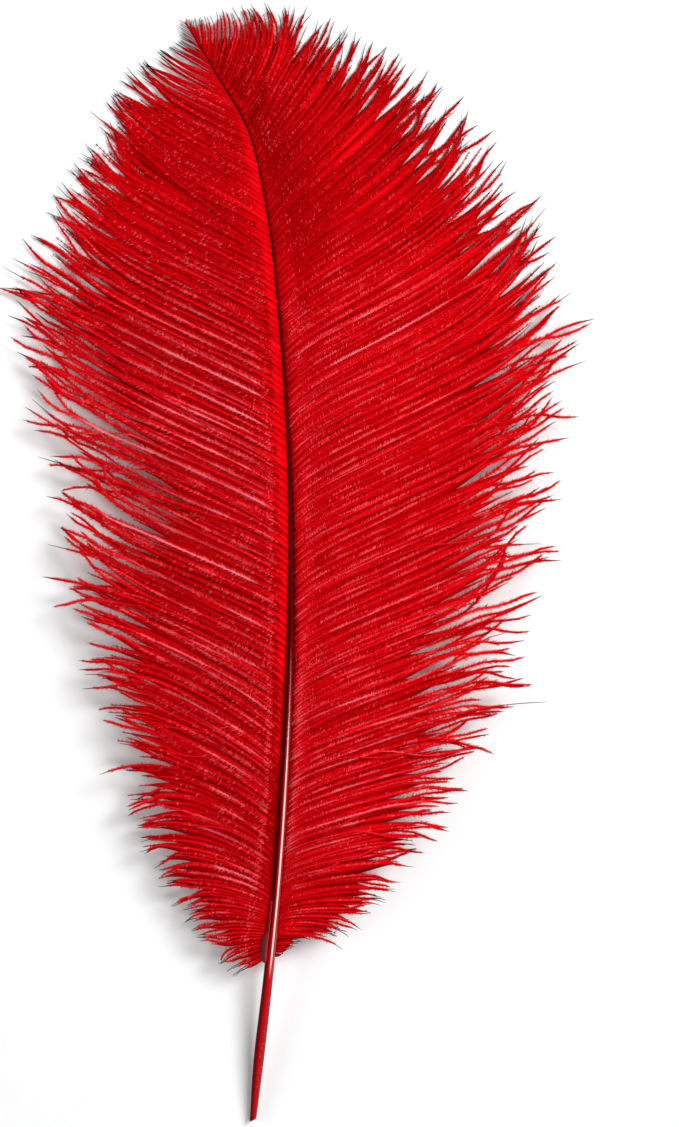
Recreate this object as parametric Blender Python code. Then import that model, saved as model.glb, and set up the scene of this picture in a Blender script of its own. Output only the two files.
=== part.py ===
"""A dyed ostrich feather, laid flat with the crown of its curve up.

Metres, +Z up. The shaft runs along Y with the cut end of the quill at -Y, X runs across the vane, and the
feather rests on z = 0. The origin lies under the middle of the feather.

The feather grew as one piece, so it is one solid: a round shaft, and on each side of it a vane made of locks,
which are bundles of barbs. Each lock leaves the shaft, follows the sweep that the barbs have there, and ends in
a point of its own at the ragged outline.
"""
import math
import random

import bmesh
import bpy
import numpy as np

# The shaft, from the cut end of the quill to the tip: y, x, height of its middle, radius
SHAFT = (
    (-0.2160, -0.0149, 0.0009, 0.00115),
    (-0.1970, -0.0131, 0.0034, 0.00190),
    (-0.1585, -0.0087, 0.0082, 0.00190),
    (-0.1218, -0.0050, 0.0130, 0.00185),
    (-0.0840, -0.0023, 0.0167, 0.00175),
    (-0.0504, -0.0005, 0.0185, 0.00145),
    (-0.0137, 0.0003, 0.0188, 0.00115),
    (0.0249, 0.0000, 0.0172, 0.00080),
    (0.0635, -0.0019, 0.0142, 0.00060),
    (0.1021, -0.0051, 0.0108, 0.00055),
    (0.1407, -0.0100, 0.0076, 0.00050),
    (0.1708, -0.0178, 0.0052, 0.00050),
    (0.1886, -0.0282, 0.0040, 0.00050),
    (0.2102, -0.0411, 0.0028, 0.00050),
)

# The barbs of each vane, from the quill to the tip: y where they leave the shaft, reach from there to their
# points, rise of that line towards the tip, how much steeper they leave the shaft, how far their ends curl up
RIGHT_VANE = (
    (-0.1507, 0.004, 10, 0, 0),
    (-0.1450, 0.013, 2, 15, -20),
    (-0.1411, 0.025, -4, 25, -35),
    (-0.1295, 0.046, 6, 28, -30),
    (-0.1102, 0.064, 13, 28, -20),
    (-0.0909, 0.080, 17, 26, -12),
    (-0.0716, 0.095, 21, 24, -6),
    (-0.0330, 0.111, 26, 24, 4),
    (0.0249, 0.127, 31, 26, 16),
    (0.0635, 0.120, 35, 26, 26),
    (0.1021, 0.102, 41, 22, 30),
    (0.1407, 0.077, 52, 14, 14),
    (0.1600, 0.061, 61, 8, 20),
    (0.1708, 0.049, 70, 4, 36),
    (0.1766, 0.040, 76, 4, 42),
    (0.1860, 0.028, 80, 2, 36),
    (0.1932, 0.018, 90, 0, 10),
    (0.2010, 0.011, 100, 0, 0),
    (0.2090, 0.003, 106, 0, 0),
)
LEFT_VANE = (
    (-0.1507, 0.014, -34, 10, -10),
    (-0.1411, 0.030, -3, 30, -38),
    (-0.1295, 0.046, 11, 34, -40),
    (-0.1102, 0.061, 21, 34, -40),
    (-0.0909, 0.072, 26, 32, -32),
    (-0.0716, 0.081, 28, 28, -18),
    (-0.0523, 0.089, 28, 24, -4),
    (-0.0137, 0.104, 27, 22, 10),
    (0.0249, 0.120, 28, 20, 12),
    (0.0442, 0.121, 29, 18, 14),
    (0.0828, 0.104, 31, 16, 18),
    (0.1214, 0.081, 33, 12, 22),
    (0.1600, 0.057, 33, 8, 18),
    (0.1832, 0.033, 29, 4, 8),
    (0.1990, 0.013, 34, 0, 0),
    (0.2090, 0.004, 38, 0, 0),
)

# Height of the vane: its edge, by the y where the barbs leave the shaft, how far below the shaft's middle they
# start, and how much the vane bulges up on the way
EDGE_HEIGHT = (
    (-0.1507, 0.0080),
    (-0.1102, 0.0100),
    (-0.0330, 0.0090),
    (0.0249, 0.0045),
    (0.0635, 0.0004),
    (0.2090, 0.0004),
)
ROOT_SINK = 0.0022
SINK_SHARE = 0.30
VANE_CROWN = 0.0035
CROWN_SKEW = 0.7
FULL_CROWN_REACH = 0.080

# The locks: the room that each takes along the shaft, by y, and its section where it is widest
LOCK_ROOM = (
    (-0.1507, 0.0050),
    (-0.1295, 0.0080),
    (-0.1000, 0.0112),
    (0.0800, 0.0112),
    (0.1800, 0.0062),
    (0.2090, 0.0056),
)
LOCK_POINTS = 9
LOCK_OVERLAP = 1.30
ROOT_OVERLAP = 2.10
ROOT_SHARE = 0.08
LOCK_WIDTH = 0.010
LOCK_THICKNESS = 0.0030
SLIMMEST_LOCK = 0.30
POINT_WIDTH = 0.0010
HOOK_SHARE = 0.10
TAPER_POWER = 3
SHINGLE_TILT = math.radians(14)
REACH_SPREAD = 0.06
RISE_SPREAD = 1.6
SEED = 17

SHAFT_STEPS = 30
PATH_STEPS = 60
WELD_DISTANCE = 0.00001
CUTTER_DEPTH = 0.020
CUTTER_SPAN = 0.600


def between(rows, y):
    """Reads a table of rows (y first) at y, on a smooth curve through its rows."""
    table = np.array(rows, dtype=float)
    places = table[:, 0]
    slopes = np.gradient(table[:, 1:], places, axis=0)
    y = min(max(y, places[0]), places[-1])
    low = min(np.searchsorted(places, y, side="right") - 1, len(places) - 2)
    step = places[low + 1] - places[low]
    t = (y - places[low]) / step
    return (
        (1 + 2 * t) * (1 - t) ** 2 * table[low, 1:]
        + t * (1 - t) ** 2 * step * slopes[low]
        + t * t * (3 - 2 * t) * table[low + 1, 1:]
        + t * t * (t - 1) * step * slopes[low + 1]
    )


def shaft_at(y):
    """Gives the shaft's middle and its radius at y."""
    x, height, radius = between(SHAFT, y)
    return np.array((x, y, height)), radius


def barb_path(vane, side, y, reach_scale=1.0, rise_shift=0.0):
    """Gives the points that a barb follows from the shaft at y to its own point.

    In plan its heading is steep at the shaft, flattens within the first tenth, and curls towards its end. Its
    height rises a little beside the shaft and then comes down to the edge of the vane.
    """
    reach, rise, hook, curl = between(vane, y)
    t = np.linspace(0, 1, PATH_STEPS + 1)
    middle = (t[1:] + t[:-1]) / 2
    heading = np.radians(hook * np.exp(-middle / HOOK_SHARE) + curl * middle ** 2)
    steps = np.stack((np.cos(heading), np.sin(heading)), axis=1)
    plan = np.vstack(((0, 0), np.cumsum(steps, axis=0)))
    end = plan[-1]
    turn = math.radians(rise + rise_shift) - math.atan2(end[1], end[0])
    scale = reach * reach_scale / math.hypot(*end)
    across = scale * (plan[:, 0] * math.cos(turn) - plan[:, 1] * math.sin(turn))
    along = scale * (plan[:, 0] * math.sin(turn) + plan[:, 1] * math.cos(turn))
    root, _ = shaft_at(y)
    start = root[2] - min(ROOT_SINK, SINK_SHARE * root[2])
    edge = between(EDGE_HEIGHT, y)[0]
    crown = VANE_CROWN * min(1.0, reach / FULL_CROWN_REACH) * np.sin(np.pi * t ** CROWN_SKEW) ** 2
    height = edge + (start - edge) * (1 + np.cos(np.pi * t)) / 2 + crown
    return np.stack((root[0] + side * across, root[1] + along, height), axis=1)


def lock_roots():
    """Gives each lock's y on the shaft, closer together where the vane fans out round the tip."""
    places = []
    y = RIGHT_VANE[0][0]
    while y < RIGHT_VANE[-1][0]:
        places.append(y)
        y += between(LOCK_ROOM, y)[0]
    return places


def collection_named(name):
    """Makes a collection in the scene."""
    made = bpy.data.collections.new(name)
    bpy.context.scene.collection.children.link(made)
    return made


def path_curve(name, points, radii, tilt=0.0):
    """Makes a curve object of one open spline through points, with its ends capped."""
    curve = bpy.data.curves.new(name, "CURVE")
    curve.dimensions = "3D"
    curve.twist_mode = "Z_UP"
    curve.use_fill_caps = True
    spline = curve.splines.new("POLY")
    spline.points.add(len(points) - 1)
    for target, point, radius in zip(spline.points, points, radii):
        target.co = (*point, 1)
        target.radius = radius
        target.tilt = tilt
    made = bpy.data.objects.new(name, curve)
    bpy.context.scene.collection.objects.link(made)
    return made


def as_mesh(curve_object, collection):
    """Turns a capped curve into a closed mesh object and removes the curve."""
    graph = bpy.context.evaluated_depsgraph_get()
    mesh = bpy.data.meshes.new_from_object(curve_object.evaluated_get(graph))
    weld = bmesh.new()
    weld.from_mesh(mesh)
    bmesh.ops.remove_doubles(weld, verts=weld.verts, dist=WELD_DISTANCE)
    bmesh.ops.recalc_face_normals(weld, faces=weld.faces)
    weld.to_mesh(mesh)
    weld.free()
    name = curve_object.name
    place = curve_object.matrix_world.copy()
    curve = curve_object.data
    bpy.data.objects.remove(curve_object)
    bpy.data.curves.remove(curve)
    made = bpy.data.objects.new(name, mesh)
    made.matrix_world = place
    collection.objects.link(made)
    return made


def make_shaft(collection):
    """Makes the round shaft: the bare quill below, thinning through the vane to a hair at the tip."""
    stretch = np.linspace(SHAFT[0][0], SHAFT[-1][0], SHAFT_STEPS)
    stations = [shaft_at(y) for y in stretch]
    widest = max(radius for _, radius in stations)
    shaft = path_curve("feather", [point for point, _ in stations], [r / widest for _, r in stations])
    shaft.data.bevel_depth = widest
    shaft.data.bevel_resolution = 3
    return as_mesh(shaft, collection)


def lock_section():
    """Makes the flat diamond that is the section of a lock at its full width."""
    curve = bpy.data.curves.new("lock section", "CURVE")
    curve.dimensions = "2D"
    corners = ((1, 0), (0, 1), (-1, 0), (0, -1))
    spline = curve.splines.new("POLY")
    spline.points.add(len(corners) - 1)
    spline.use_cyclic_u = True
    for target, (across, up) in zip(spline.points, corners):
        target.co = (across * LOCK_WIDTH / 2, up * LOCK_THICKNESS / 2, 0, 1)
    section = bpy.data.objects.new("lock section", curve)
    bpy.context.scene.collection.objects.link(section)
    return section


def make_lock(name, vane, side, y, chance, section, collection):
    """Makes one lock of barbs, as wide as the room between its neighbours and pointed at its end."""
    room = between(LOCK_ROOM, y)[0]
    scale = 1 + REACH_SPREAD * chance.uniform(-1, 1)
    shift = RISE_SPREAD * chance.uniform(-1, 1)
    path = barb_path(vane, side, y, scale, shift)
    below = barb_path(vane, side, y - room / 2)
    above = barb_path(vane, side, y + room / 2)
    t = np.linspace(0, 1, PATH_STEPS + 1)
    heading = np.gradient(path[:, :2], axis=0)
    heading /= np.linalg.norm(heading, axis=1)[:, None]
    apart = above[:, :2] - below[:, :2]
    spread = np.abs(heading[:, 0] * apart[:, 1] - heading[:, 1] * apart[:, 0])
    overlap = np.interp(t, (0, ROOT_SHARE), (ROOT_OVERLAP, LOCK_OVERLAP))
    widest = SLIMMEST_LOCK * between(vane, y)[0]
    width = np.minimum(overlap * spread, widest) * (1 - t ** TAPER_POWER) + POINT_WIDTH
    keep = np.linspace(0, PATH_STEPS, LOCK_POINTS).round().astype(int)
    lock = path_curve(name, path[keep], width[keep] / LOCK_WIDTH, side * SHINGLE_TILT)
    lock.data.bevel_mode = "OBJECT"
    lock.data.bevel_object = section
    return as_mesh(lock, collection)


def fuse(body, collection):
    """Joins every object of a collection to body in one solid, and removes them."""
    union = body.modifiers.new("locks", "BOOLEAN")
    union.operation = "UNION"
    union.solver = "EXACT"
    union.operand_type = "COLLECTION"
    union.collection = collection
    settle(body)
    for piece in list(collection.objects):
        mesh = piece.data
        bpy.data.objects.remove(piece)
        bpy.data.meshes.remove(mesh)
    bpy.data.collections.remove(collection)


def settle(body):
    """Replaces body's mesh by the one that its modifiers make."""
    graph = bpy.context.evaluated_depsgraph_get()
    mesh = bpy.data.meshes.new_from_object(body.evaluated_get(graph))
    body.modifiers.clear()
    spare = body.data
    body.data = mesh
    bpy.data.meshes.remove(spare)
    mesh.name = body.name


def make_floor_cutter(collection):
    """Makes the block below z = 0 that flattens the locks where the feather rests on them."""
    bpy.ops.mesh.primitive_cube_add(size=1, location=(0, 0, -CUTTER_DEPTH / 2))
    cutter = bpy.context.object
    cutter.name = "floor cutter"
    cutter.scale = (CUTTER_SPAN, CUTTER_SPAN, CUTTER_DEPTH)
    bpy.context.view_layer.update()
    for owner in cutter.users_collection:
        owner.objects.unlink(cutter)
    collection.objects.link(cutter)
    cutter.hide_render = True
    cutter.display_type = "WIRE"
    return cutter


def dyed_feather():
    """Makes the finish: keratin dyed scarlet."""
    material = bpy.data.materials.new("dyed feather")
    material.use_nodes = True
    shader = material.node_tree.nodes["Principled BSDF"]
    shader.inputs["Base Color"].default_value = (0.58, 0.004, 0.012, 1)
    shader.inputs["Roughness"].default_value = 0.55
    shader.inputs["Metallic"].default_value = 0.0
    return material


def main():
    """Models the feather."""
    for old in list(bpy.data.objects):
        bpy.data.objects.remove(old)
    parts = collection_named("ostrich feather")
    cutters = collection_named("cutters")
    locks = collection_named("locks")
    feather = make_shaft(parts)
    section = lock_section()
    chance = random.Random(SEED)
    places = lock_roots()
    for vane, side, word in ((RIGHT_VANE, 1, "right"), (LEFT_VANE, -1, "left")):
        for index, y in enumerate(places):
            make_lock(f"{word} lock {index}", vane, side, y, chance, section, locks)
    bpy.data.objects.remove(section)
    fuse(feather, locks)
    cut = feather.modifiers.new("resting flats", "BOOLEAN")
    cut.operation = "DIFFERENCE"
    cut.solver = "EXACT"
    cut.object = make_floor_cutter(cutters)
    feather.data.materials.clear()
    feather.data.materials.append(dyed_feather())


main()
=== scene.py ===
import logging
import math
from dataclasses import dataclass, field
from enum import Enum
from typing import Any, Sequence, Union

import bmesh
import bpy
import numpy as np
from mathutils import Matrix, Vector


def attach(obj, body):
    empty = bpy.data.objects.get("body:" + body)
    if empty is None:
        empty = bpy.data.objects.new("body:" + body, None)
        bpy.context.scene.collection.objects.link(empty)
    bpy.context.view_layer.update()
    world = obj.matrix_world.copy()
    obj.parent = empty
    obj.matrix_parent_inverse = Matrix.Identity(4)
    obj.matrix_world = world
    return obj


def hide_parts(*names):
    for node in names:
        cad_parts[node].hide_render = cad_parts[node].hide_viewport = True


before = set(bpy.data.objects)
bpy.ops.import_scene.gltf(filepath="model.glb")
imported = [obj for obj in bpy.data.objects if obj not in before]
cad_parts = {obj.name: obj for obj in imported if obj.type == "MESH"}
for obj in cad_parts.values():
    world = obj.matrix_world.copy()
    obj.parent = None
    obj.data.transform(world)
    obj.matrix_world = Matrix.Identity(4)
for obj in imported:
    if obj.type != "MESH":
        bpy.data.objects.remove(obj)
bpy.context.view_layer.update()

BODY = "root"
NODE = "feather"
MAP = "OFBake"

Array = np.ndarray
Rows = Sequence[tuple[float, ...]]
Row = tuple[float, ...]
Span = tuple[float, float]
Scale = tuple[float, float, float]
Colour = tuple[float, float, float]

# The map's second axis on a strand: the shares that the root, the body and the bare hair take up
ROOT_SHARE, BODY_SHARE, HAIR_SHARE = 0.1, 0.7, 0.2
# The root's length, the hair's beside the tip with no barbules, and the least length for the body
ROOT_LENGTH, HAIR_OVER, LEAST_BODY = 0.003, 1.25, 0.001
# The lowest and highest shade of a strand and of a barbule, and where on the map a barbule may lie
STRAND_SHADES: Span = (0.03, 0.97)
BARBULE_SHADES: Span = (0.02, 0.98)
BARBULE_PLACES: Span = (0.01, 0.79)
# The room that is left at both ends of the map's second axis
MAP_EDGE = 0.01

# The shaft, from the cut end of the quill to the tip: y, x, height of its middle, radius
SHAFT_LINE: Rows = (
    (-0.2160, -0.0149, 0.0013, 0.00115),
    (-0.1970, -0.0131, 0.0034, 0.00190),
    (-0.1585, -0.0087, 0.0082, 0.00190),
    (-0.1218, -0.0050, 0.0130, 0.00185),
    (-0.0840, -0.0023, 0.0167, 0.00175),
    (-0.0504, -0.0005, 0.0185, 0.00145),
    (-0.0137, 0.0003, 0.0188, 0.00104),
    (0.0249, 0.0000, 0.0172, 0.00072),
    (0.0635, -0.0019, 0.0142, 0.00050),
    (0.1021, -0.0051, 0.0108, 0.00040),
    (0.1407, -0.0100, 0.0076, 0.00036),
    (0.1708, -0.0178, 0.0052, 0.00034),
    (0.1886, -0.0282, 0.0040, 0.00030),
    (0.2102, -0.0411, 0.0028, 0.00022),
)

# The barbs of each vane, from the quill to the tip: y where they leave the shaft, reach from there to their
# points, rise of that line towards the tip, how much steeper they leave the shaft, how far their ends curl up
RIGHT_VANE: Rows = (
    (-0.1507, 0.004, 10, 0, 0),
    (-0.1450, 0.013, 2, 15, -20),
    (-0.1411, 0.025, -4, 25, -35),
    (-0.1295, 0.046, 6, 28, -30),
    (-0.1102, 0.064, 13, 28, -20),
    (-0.0909, 0.080, 17, 26, -12),
    (-0.0716, 0.094, 21, 24, -6),
    (-0.0620, 0.090, 22.5, 24, -3),
    (-0.0500, 0.101, 24, 24, 0),
    (-0.0330, 0.107, 26, 24, 4),
    (-0.0040, 0.112, 28.5, 25, 10),
    (0.0249, 0.126, 31, 26, 16),
    (0.0635, 0.120, 35, 26, 26),
    (0.1021, 0.102, 41, 22, 30),
    (0.1407, 0.075, 52, 14, 14),
    (0.1600, 0.058, 61, 8, 20),
    (0.1690, 0.0498, 68, 4, 12),
    (0.1722, 0.0470, 71.5, 4, 60),
    (0.1766, 0.0415, 76, 4, 58),
    (0.1860, 0.0310, 81, 2, 52),
    (0.1932, 0.020, 90, 0, 24),
    (0.2010, 0.011, 100, 0, 0),
    (0.2090, 0.003, 106, 0, 0),
)
LEFT_VANE: Rows = (
    (-0.1507, 0.014, -34, 10, -10),
    (-0.1411, 0.030, -3, 30, -38),
    (-0.1295, 0.046, 11, 34, -40),
    (-0.1102, 0.061, 21, 34, -40),
    (-0.0909, 0.075, 26, 32, -32),
    (-0.0716, 0.085, 28, 28, -18),
    (-0.0523, 0.092, 28, 24, -4),
    (-0.0137, 0.101, 27, 22, 10),
    (-0.0060, 0.101, 27, 21.5, 10),
    (0.0005, 0.086, 27, 21, 10),
    (0.0075, 0.106, 27.5, 21, 11),
    (0.0249, 0.117, 28, 20, 12),
    (0.0442, 0.121, 29, 18, 14),
    (0.0828, 0.104, 31, 16, 18),
    (0.1214, 0.081, 33, 12, 22),
    (0.1600, 0.057, 33, 8, 18),
    (0.1832, 0.031, 29, 4, 8),
    (0.1990, 0.010, 34, 0, 0),
    (0.2090, 0.004, 38, 0, 0),
)
# Height of the vane's edge, by the y where its barbs leave the shaft
EDGE_HEIGHT: Rows = (
    (-0.1507, 0.0080),
    (-0.1102, 0.0100),
    (-0.0330, 0.0090),
    (0.0249, 0.0045),
    (0.0635, 0.0004),
    (0.2090, 0.0004),
)
# The room that a barb takes along the shaft, by y
BARB_PITCH: Rows = (
    (-0.1507, 0.00075),
    (-0.1250, 0.00105),
    (-0.0900, 0.00125),
    (0.1000, 0.00125),
    (0.1500, 0.00108),
    (0.1800, 0.00100),
    (0.1950, 0.00115),
    (0.2090, 0.00125),
)
# How barbs gather, by y: where along a barb its bunch starts to close, how far it closes, the same for the
# wider lock that the bunch belongs to, the underlayer's reach beside the barbs', and how many degrees the
# ends stray
RIGHT_GATHER: Rows = (
    (-0.1507, 0.62, 0.62, 0.60, 0.22, 0.95, 9),
    (-0.1000, 0.64, 0.66, 0.62, 0.27, 0.90, 11),
    (-0.0540, 0.54, 0.84, 0.56, 0.32, 0.78, 13),
    (-0.0300, 0.60, 0.80, 0.62, 0.26, 0.88, 14),
    (0.0150, 0.62, 0.76, 0.62, 0.24, 0.92, 13),
    (0.0500, 0.66, 0.70, 0.66, 0.20, 0.96, 12),
    (0.0900, 0.68, 0.68, 0.66, 0.20, 0.97, 11),
    (0.1200, 0.70, 0.64, 0.68, 0.18, 0.96, 9),
    (0.1600, 0.70, 0.58, 0.70, 0.16, 0.90, 7),
    (0.1880, 0.66, 0.50, 0.70, 0.12, 0.76, 5),
    (0.2000, 0.60, 0.30, 0.70, 0.05, 0.28, 3),
    (0.2090, 0.60, 0.30, 0.70, 0.05, 0.00, 3),
)
LEFT_GATHER: Rows = (
    (-0.1507, 0.60, 0.70, 0.60, 0.24, 0.80, 11),
    (-0.1400, 0.64, 0.74, 0.62, 0.28, 0.94, 12),
    (-0.1000, 0.66, 0.72, 0.64, 0.28, 0.98, 11),
    (-0.0500, 0.62, 0.72, 0.60, 0.30, 0.94, 10),
    (-0.0300, 0.58, 0.80, 0.58, 0.28, 0.84, 15),
    (-0.0100, 0.50, 0.86, 0.52, 0.30, 0.69, 17),
    (0.0150, 0.50, 0.86, 0.54, 0.32, 0.66, 16),
    (0.0350, 0.60, 0.76, 0.62, 0.26, 0.82, 13),
    (0.0650, 0.70, 0.66, 0.68, 0.20, 0.94, 11),
    (0.0900, 0.72, 0.62, 0.70, 0.18, 0.98, 10),
    (0.1250, 0.72, 0.60, 0.70, 0.18, 0.99, 9),
    (0.1600, 0.45, 0.80, 0.60, 0.26, 0.80, 5),
    (0.1740, 0.14, 0.88, 0.60, 0.20, 0.30, 4),
    (0.1870, 0.14, 0.85, 0.70, 0.15, 0.00, 3),
    (0.1940, 0.50, 0.10, 0.70, 0.05, 0.00, 2),
    (0.2090, 0.50, 0.05, 0.70, 0.00, 0.00, 2),
)
# Barbs that stand clear of the outline: y where they leave the shaft, reach and rise beside their
# neighbours', how far their ends curl, and the length of their bare tips
RIGHT_STRAYS: Rows = (
    (-0.1425, 1.30, -9.0, -6, 0.004),
    (-0.0830, 1.20, 0.0, -8, 0.017),
    (-0.0473, 1.00, -6.5, 10, 0.003),
    (-0.0307, 0.97, -6.0, -6, 0.003),
    (-0.0210, 0.92, -5.0, -22, 0.008),
    (-0.0040, 0.98, -4.0, 20, 0.003),
    (0.0120, 0.94, -6.5, -18, 0.003),
    (0.0300, 0.95, -6.0, 14, 0.003),
    (0.0520, 1.00, 3.0, 18, 0.004),
    (0.0980, 1.04, 4.0, 12, 0.004),
    (0.1280, 1.05, -3.0, 8, 0.005),
)
LEFT_STRAYS: Rows = (
    (0.0060, 1.02, -5.0, 10, 0.018),
    (0.0140, 0.98, -4.0, -12, 0.010),
    (0.0300, 0.99, 0.0, 8, 0.005),
    (0.0400, 1.02, -0.5, -10, 0.005),
    (0.0600, 1.04, 2.0, 12, 0.006),
    (-0.0300, 1.02, -2.0, 14, 0.008),
    (-0.0400, 1.06, -4.0, 14, 0.004),
    (-0.0980, 1.04, -8.0, 12, 0.004),
    (0.1180, 1.10, 10.0, 16, 0.006),
)


def read_rows(rows: Rows, places: Array) -> Array:
    """Reads a table on smooth curves through its rows.

    Args:
        rows: the table, with the place first in each row.
        places: where to read it; past its ends the end rows hold.

    Returns:
        One row of the other columns for each place.
    """
    table = np.array(rows, dtype=float)
    knots = table[:, 0]
    slopes = np.gradient(table[:, 1:], knots, axis=0)
    at = np.clip(np.atleast_1d(places), knots[0], knots[-1])
    low = np.clip(np.searchsorted(knots, at, side="right") - 1, 0, len(knots) - 2)
    step = (knots[low + 1] - knots[low])[:, None]
    t = (at - knots[low])[:, None] / step
    return (
        (1 + 2 * t) * (1 - t) ** 2 * table[low, 1:]
        + t * (1 - t) ** 2 * step * slopes[low]
        + t * t * (3 - 2 * t) * table[low + 1, 1:]
        + t * t * (t - 1) * step * slopes[low + 1]
    )


def ease(value: Array, start: Array | float, end: Array | float) -> Array:
    """Rises smoothly from 0 at start to 1 at end."""
    t = np.clip((value - start) / (end - start), 0, 1)
    return t * t * (3 - 2 * t)


def unit(vectors: Array) -> Array:
    """Gives the vectors a length of 1."""
    return vectors / np.maximum(np.linalg.norm(vectors, axis=-1, keepdims=True), 1e-12)


def shaft_middle(places: Array) -> Array:
    """Gives the shaft's middle at each y."""
    x, height, _ = read_rows(SHAFT_LINE, places).T
    return np.stack((x, places, height), axis=1)


class Side(Enum):
    """The two vanes, by the way that X grows across them."""

    RIGHT = 1
    LEFT = -1


class Value:
    """A number of a node tree that Python's arithmetic works on."""

    def __init__(self, graph: "Graph", socket: bpy.types.NodeSocket) -> None:
        """Wraps a socket of a graph."""
        self.graph = graph
        self.socket = socket

    def _math(self, operation: str, *terms: "Number") -> "Value":
        """Adds the Math node for one operation on these terms."""
        made = self.graph.node("ShaderNodeMath", {"operation": operation}, dict(enumerate(terms)))
        return Value(self.graph, made.outputs[0])

    def __add__(self, other: "Number") -> "Value":
        """self + other"""
        return self._math("ADD", self, other)

    def __radd__(self, other: "Number") -> "Value":
        """other + self"""
        return self._math("ADD", other, self)

    def __sub__(self, other: "Number") -> "Value":
        """self - other"""
        return self._math("SUBTRACT", self, other)

    def __rsub__(self, other: "Number") -> "Value":
        """other - self"""
        return self._math("SUBTRACT", other, self)

    def __mul__(self, other: "Number") -> "Value":
        """self * other"""
        return self._math("MULTIPLY", self, other)

    def __rmul__(self, other: "Number") -> "Value":
        """other * self"""
        return self._math("MULTIPLY", other, self)

    def __abs__(self) -> "Value":
        """abs(self)"""
        return self._math("ABSOLUTE", self)

    def step(self, start: "Number", end: "Number") -> "Value":
        """Rises smoothly.

        Args:
            start: the level up to which it stays 0.
            end: the level from which it is 1.

        Returns:
            The risen value.
        """
        settings = {"interpolation_type": "SMOOTHSTEP"}
        sockets = {"Value": self, "From Min": start, "From Max": end}
        return Value(self.graph, self.graph.node("ShaderNodeMapRange", settings, sockets).outputs[0])

    def fall(self, start: "Number", end: "Number") -> "Value":
        """Falls smoothly from 1 where self is start to 0 where it is end."""
        return 1 - self.step(start, end)


Number = Union[Value, float]


class Graph:
    """The node tree of one material."""

    def __init__(self, name: str) -> None:
        """Makes a material with an empty tree.

        Args:
            name: the material's name.
        """
        self.material = bpy.data.materials.new(name)
        self.material.use_nodes = True
        self.tree = self.material.node_tree
        self.tree.nodes.clear()

    def node(
        self,
        kind: str,
        settings: dict[str, Any] | None = None,
        sockets: dict[str | int, Any] | None = None,
    ) -> bpy.types.Node:
        """Adds a node.

        Args:
            kind: the node's type.
            settings: its own settings, and the stops of a ramp under "stops".
            sockets: a value, a socket or a Value for each of its inputs.

        Returns:
            The node.
        """
        made = self.tree.nodes.new(kind)
        for name, setting in (settings or {}).items():
            if name == "stops":
                self._set_stops(made.color_ramp, setting)
            else:
                setattr(made, name, setting)
        for name, given in (sockets or {}).items():
            source = given.socket if isinstance(given, Value) else given
            if isinstance(source, bpy.types.NodeSocket):
                self.tree.links.new(source, made.inputs[name])
            else:
                made.inputs[name].default_value = source
        return made

    @staticmethod
    def _set_stops(ramp: bpy.types.ColorRamp, stops: Sequence[tuple[float, Colour]]) -> None:
        """Gives a ramp its stops.

        Args:
            ramp: the ramp.
            stops: their places and colours, in order.
        """
        while len(ramp.elements) < len(stops):
            ramp.elements.new(1.0)
        for element, (place, colour) in zip(ramp.elements, stops):
            element.position = place
            element.color = (*colour, 1)

    def map_axes(self) -> tuple[Value, Value]:
        """Reads the piece's own map.

        Returns:
            Its two axes.
        """
        places = self.node("ShaderNodeUVMap", {"uv_map": MAP})
        split = self.node("ShaderNodeSeparateXYZ", {}, {0: places.outputs["UV"]})
        return Value(self, split.outputs[0]), Value(self, split.outputs[1])

    def noise(self, scale: Scale, vector: bpy.types.NodeSocket, detail: float = 3) -> Value:
        """Adds smooth noise.

        Args:
            scale: how fine it is along each axis.
            vector: the places that it is read at.
            detail: how many finer layers it has.

        Returns:
            The noise, from 0 to 1.
        """
        mapping = self.node("ShaderNodeMapping", {}, {"Vector": vector, "Scale": scale})
        sockets = {"Vector": mapping.outputs[0], "Scale": 1.0, "Detail": detail}
        return Value(self, self.node("ShaderNodeTexNoise", {}, sockets).outputs["Fac"])

    def mix(self, share: Number, first: Any, second: Any) -> bpy.types.NodeSocket:
        """Mixes two colours.

        Args:
            share: how much of the second there is, from 0 to 1.
            first: a colour or its socket.
            second: another.

        Returns:
            The mixed colour's socket.
        """
        pair = [one if isinstance(one, bpy.types.NodeSocket) else (*one, 1) for one in (first, second)]
        sockets = {0: share, 6: pair[0], 7: pair[1]}
        return self.node("ShaderNodeMix", {"data_type": "RGBA"}, sockets).outputs[2]

    def finish(self, sockets: dict[str, Any]) -> bpy.types.Material:
        """Puts a Principled shader on the surface.

        Args:
            sockets: what each of the shader's inputs gets.

        Returns:
            The material.
        """
        shader = self.node("ShaderNodeBsdfPrincipled", {}, sockets)
        self.node("ShaderNodeOutputMaterial", {}, {"Surface": shader.outputs[0]})
        return self.material


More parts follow.
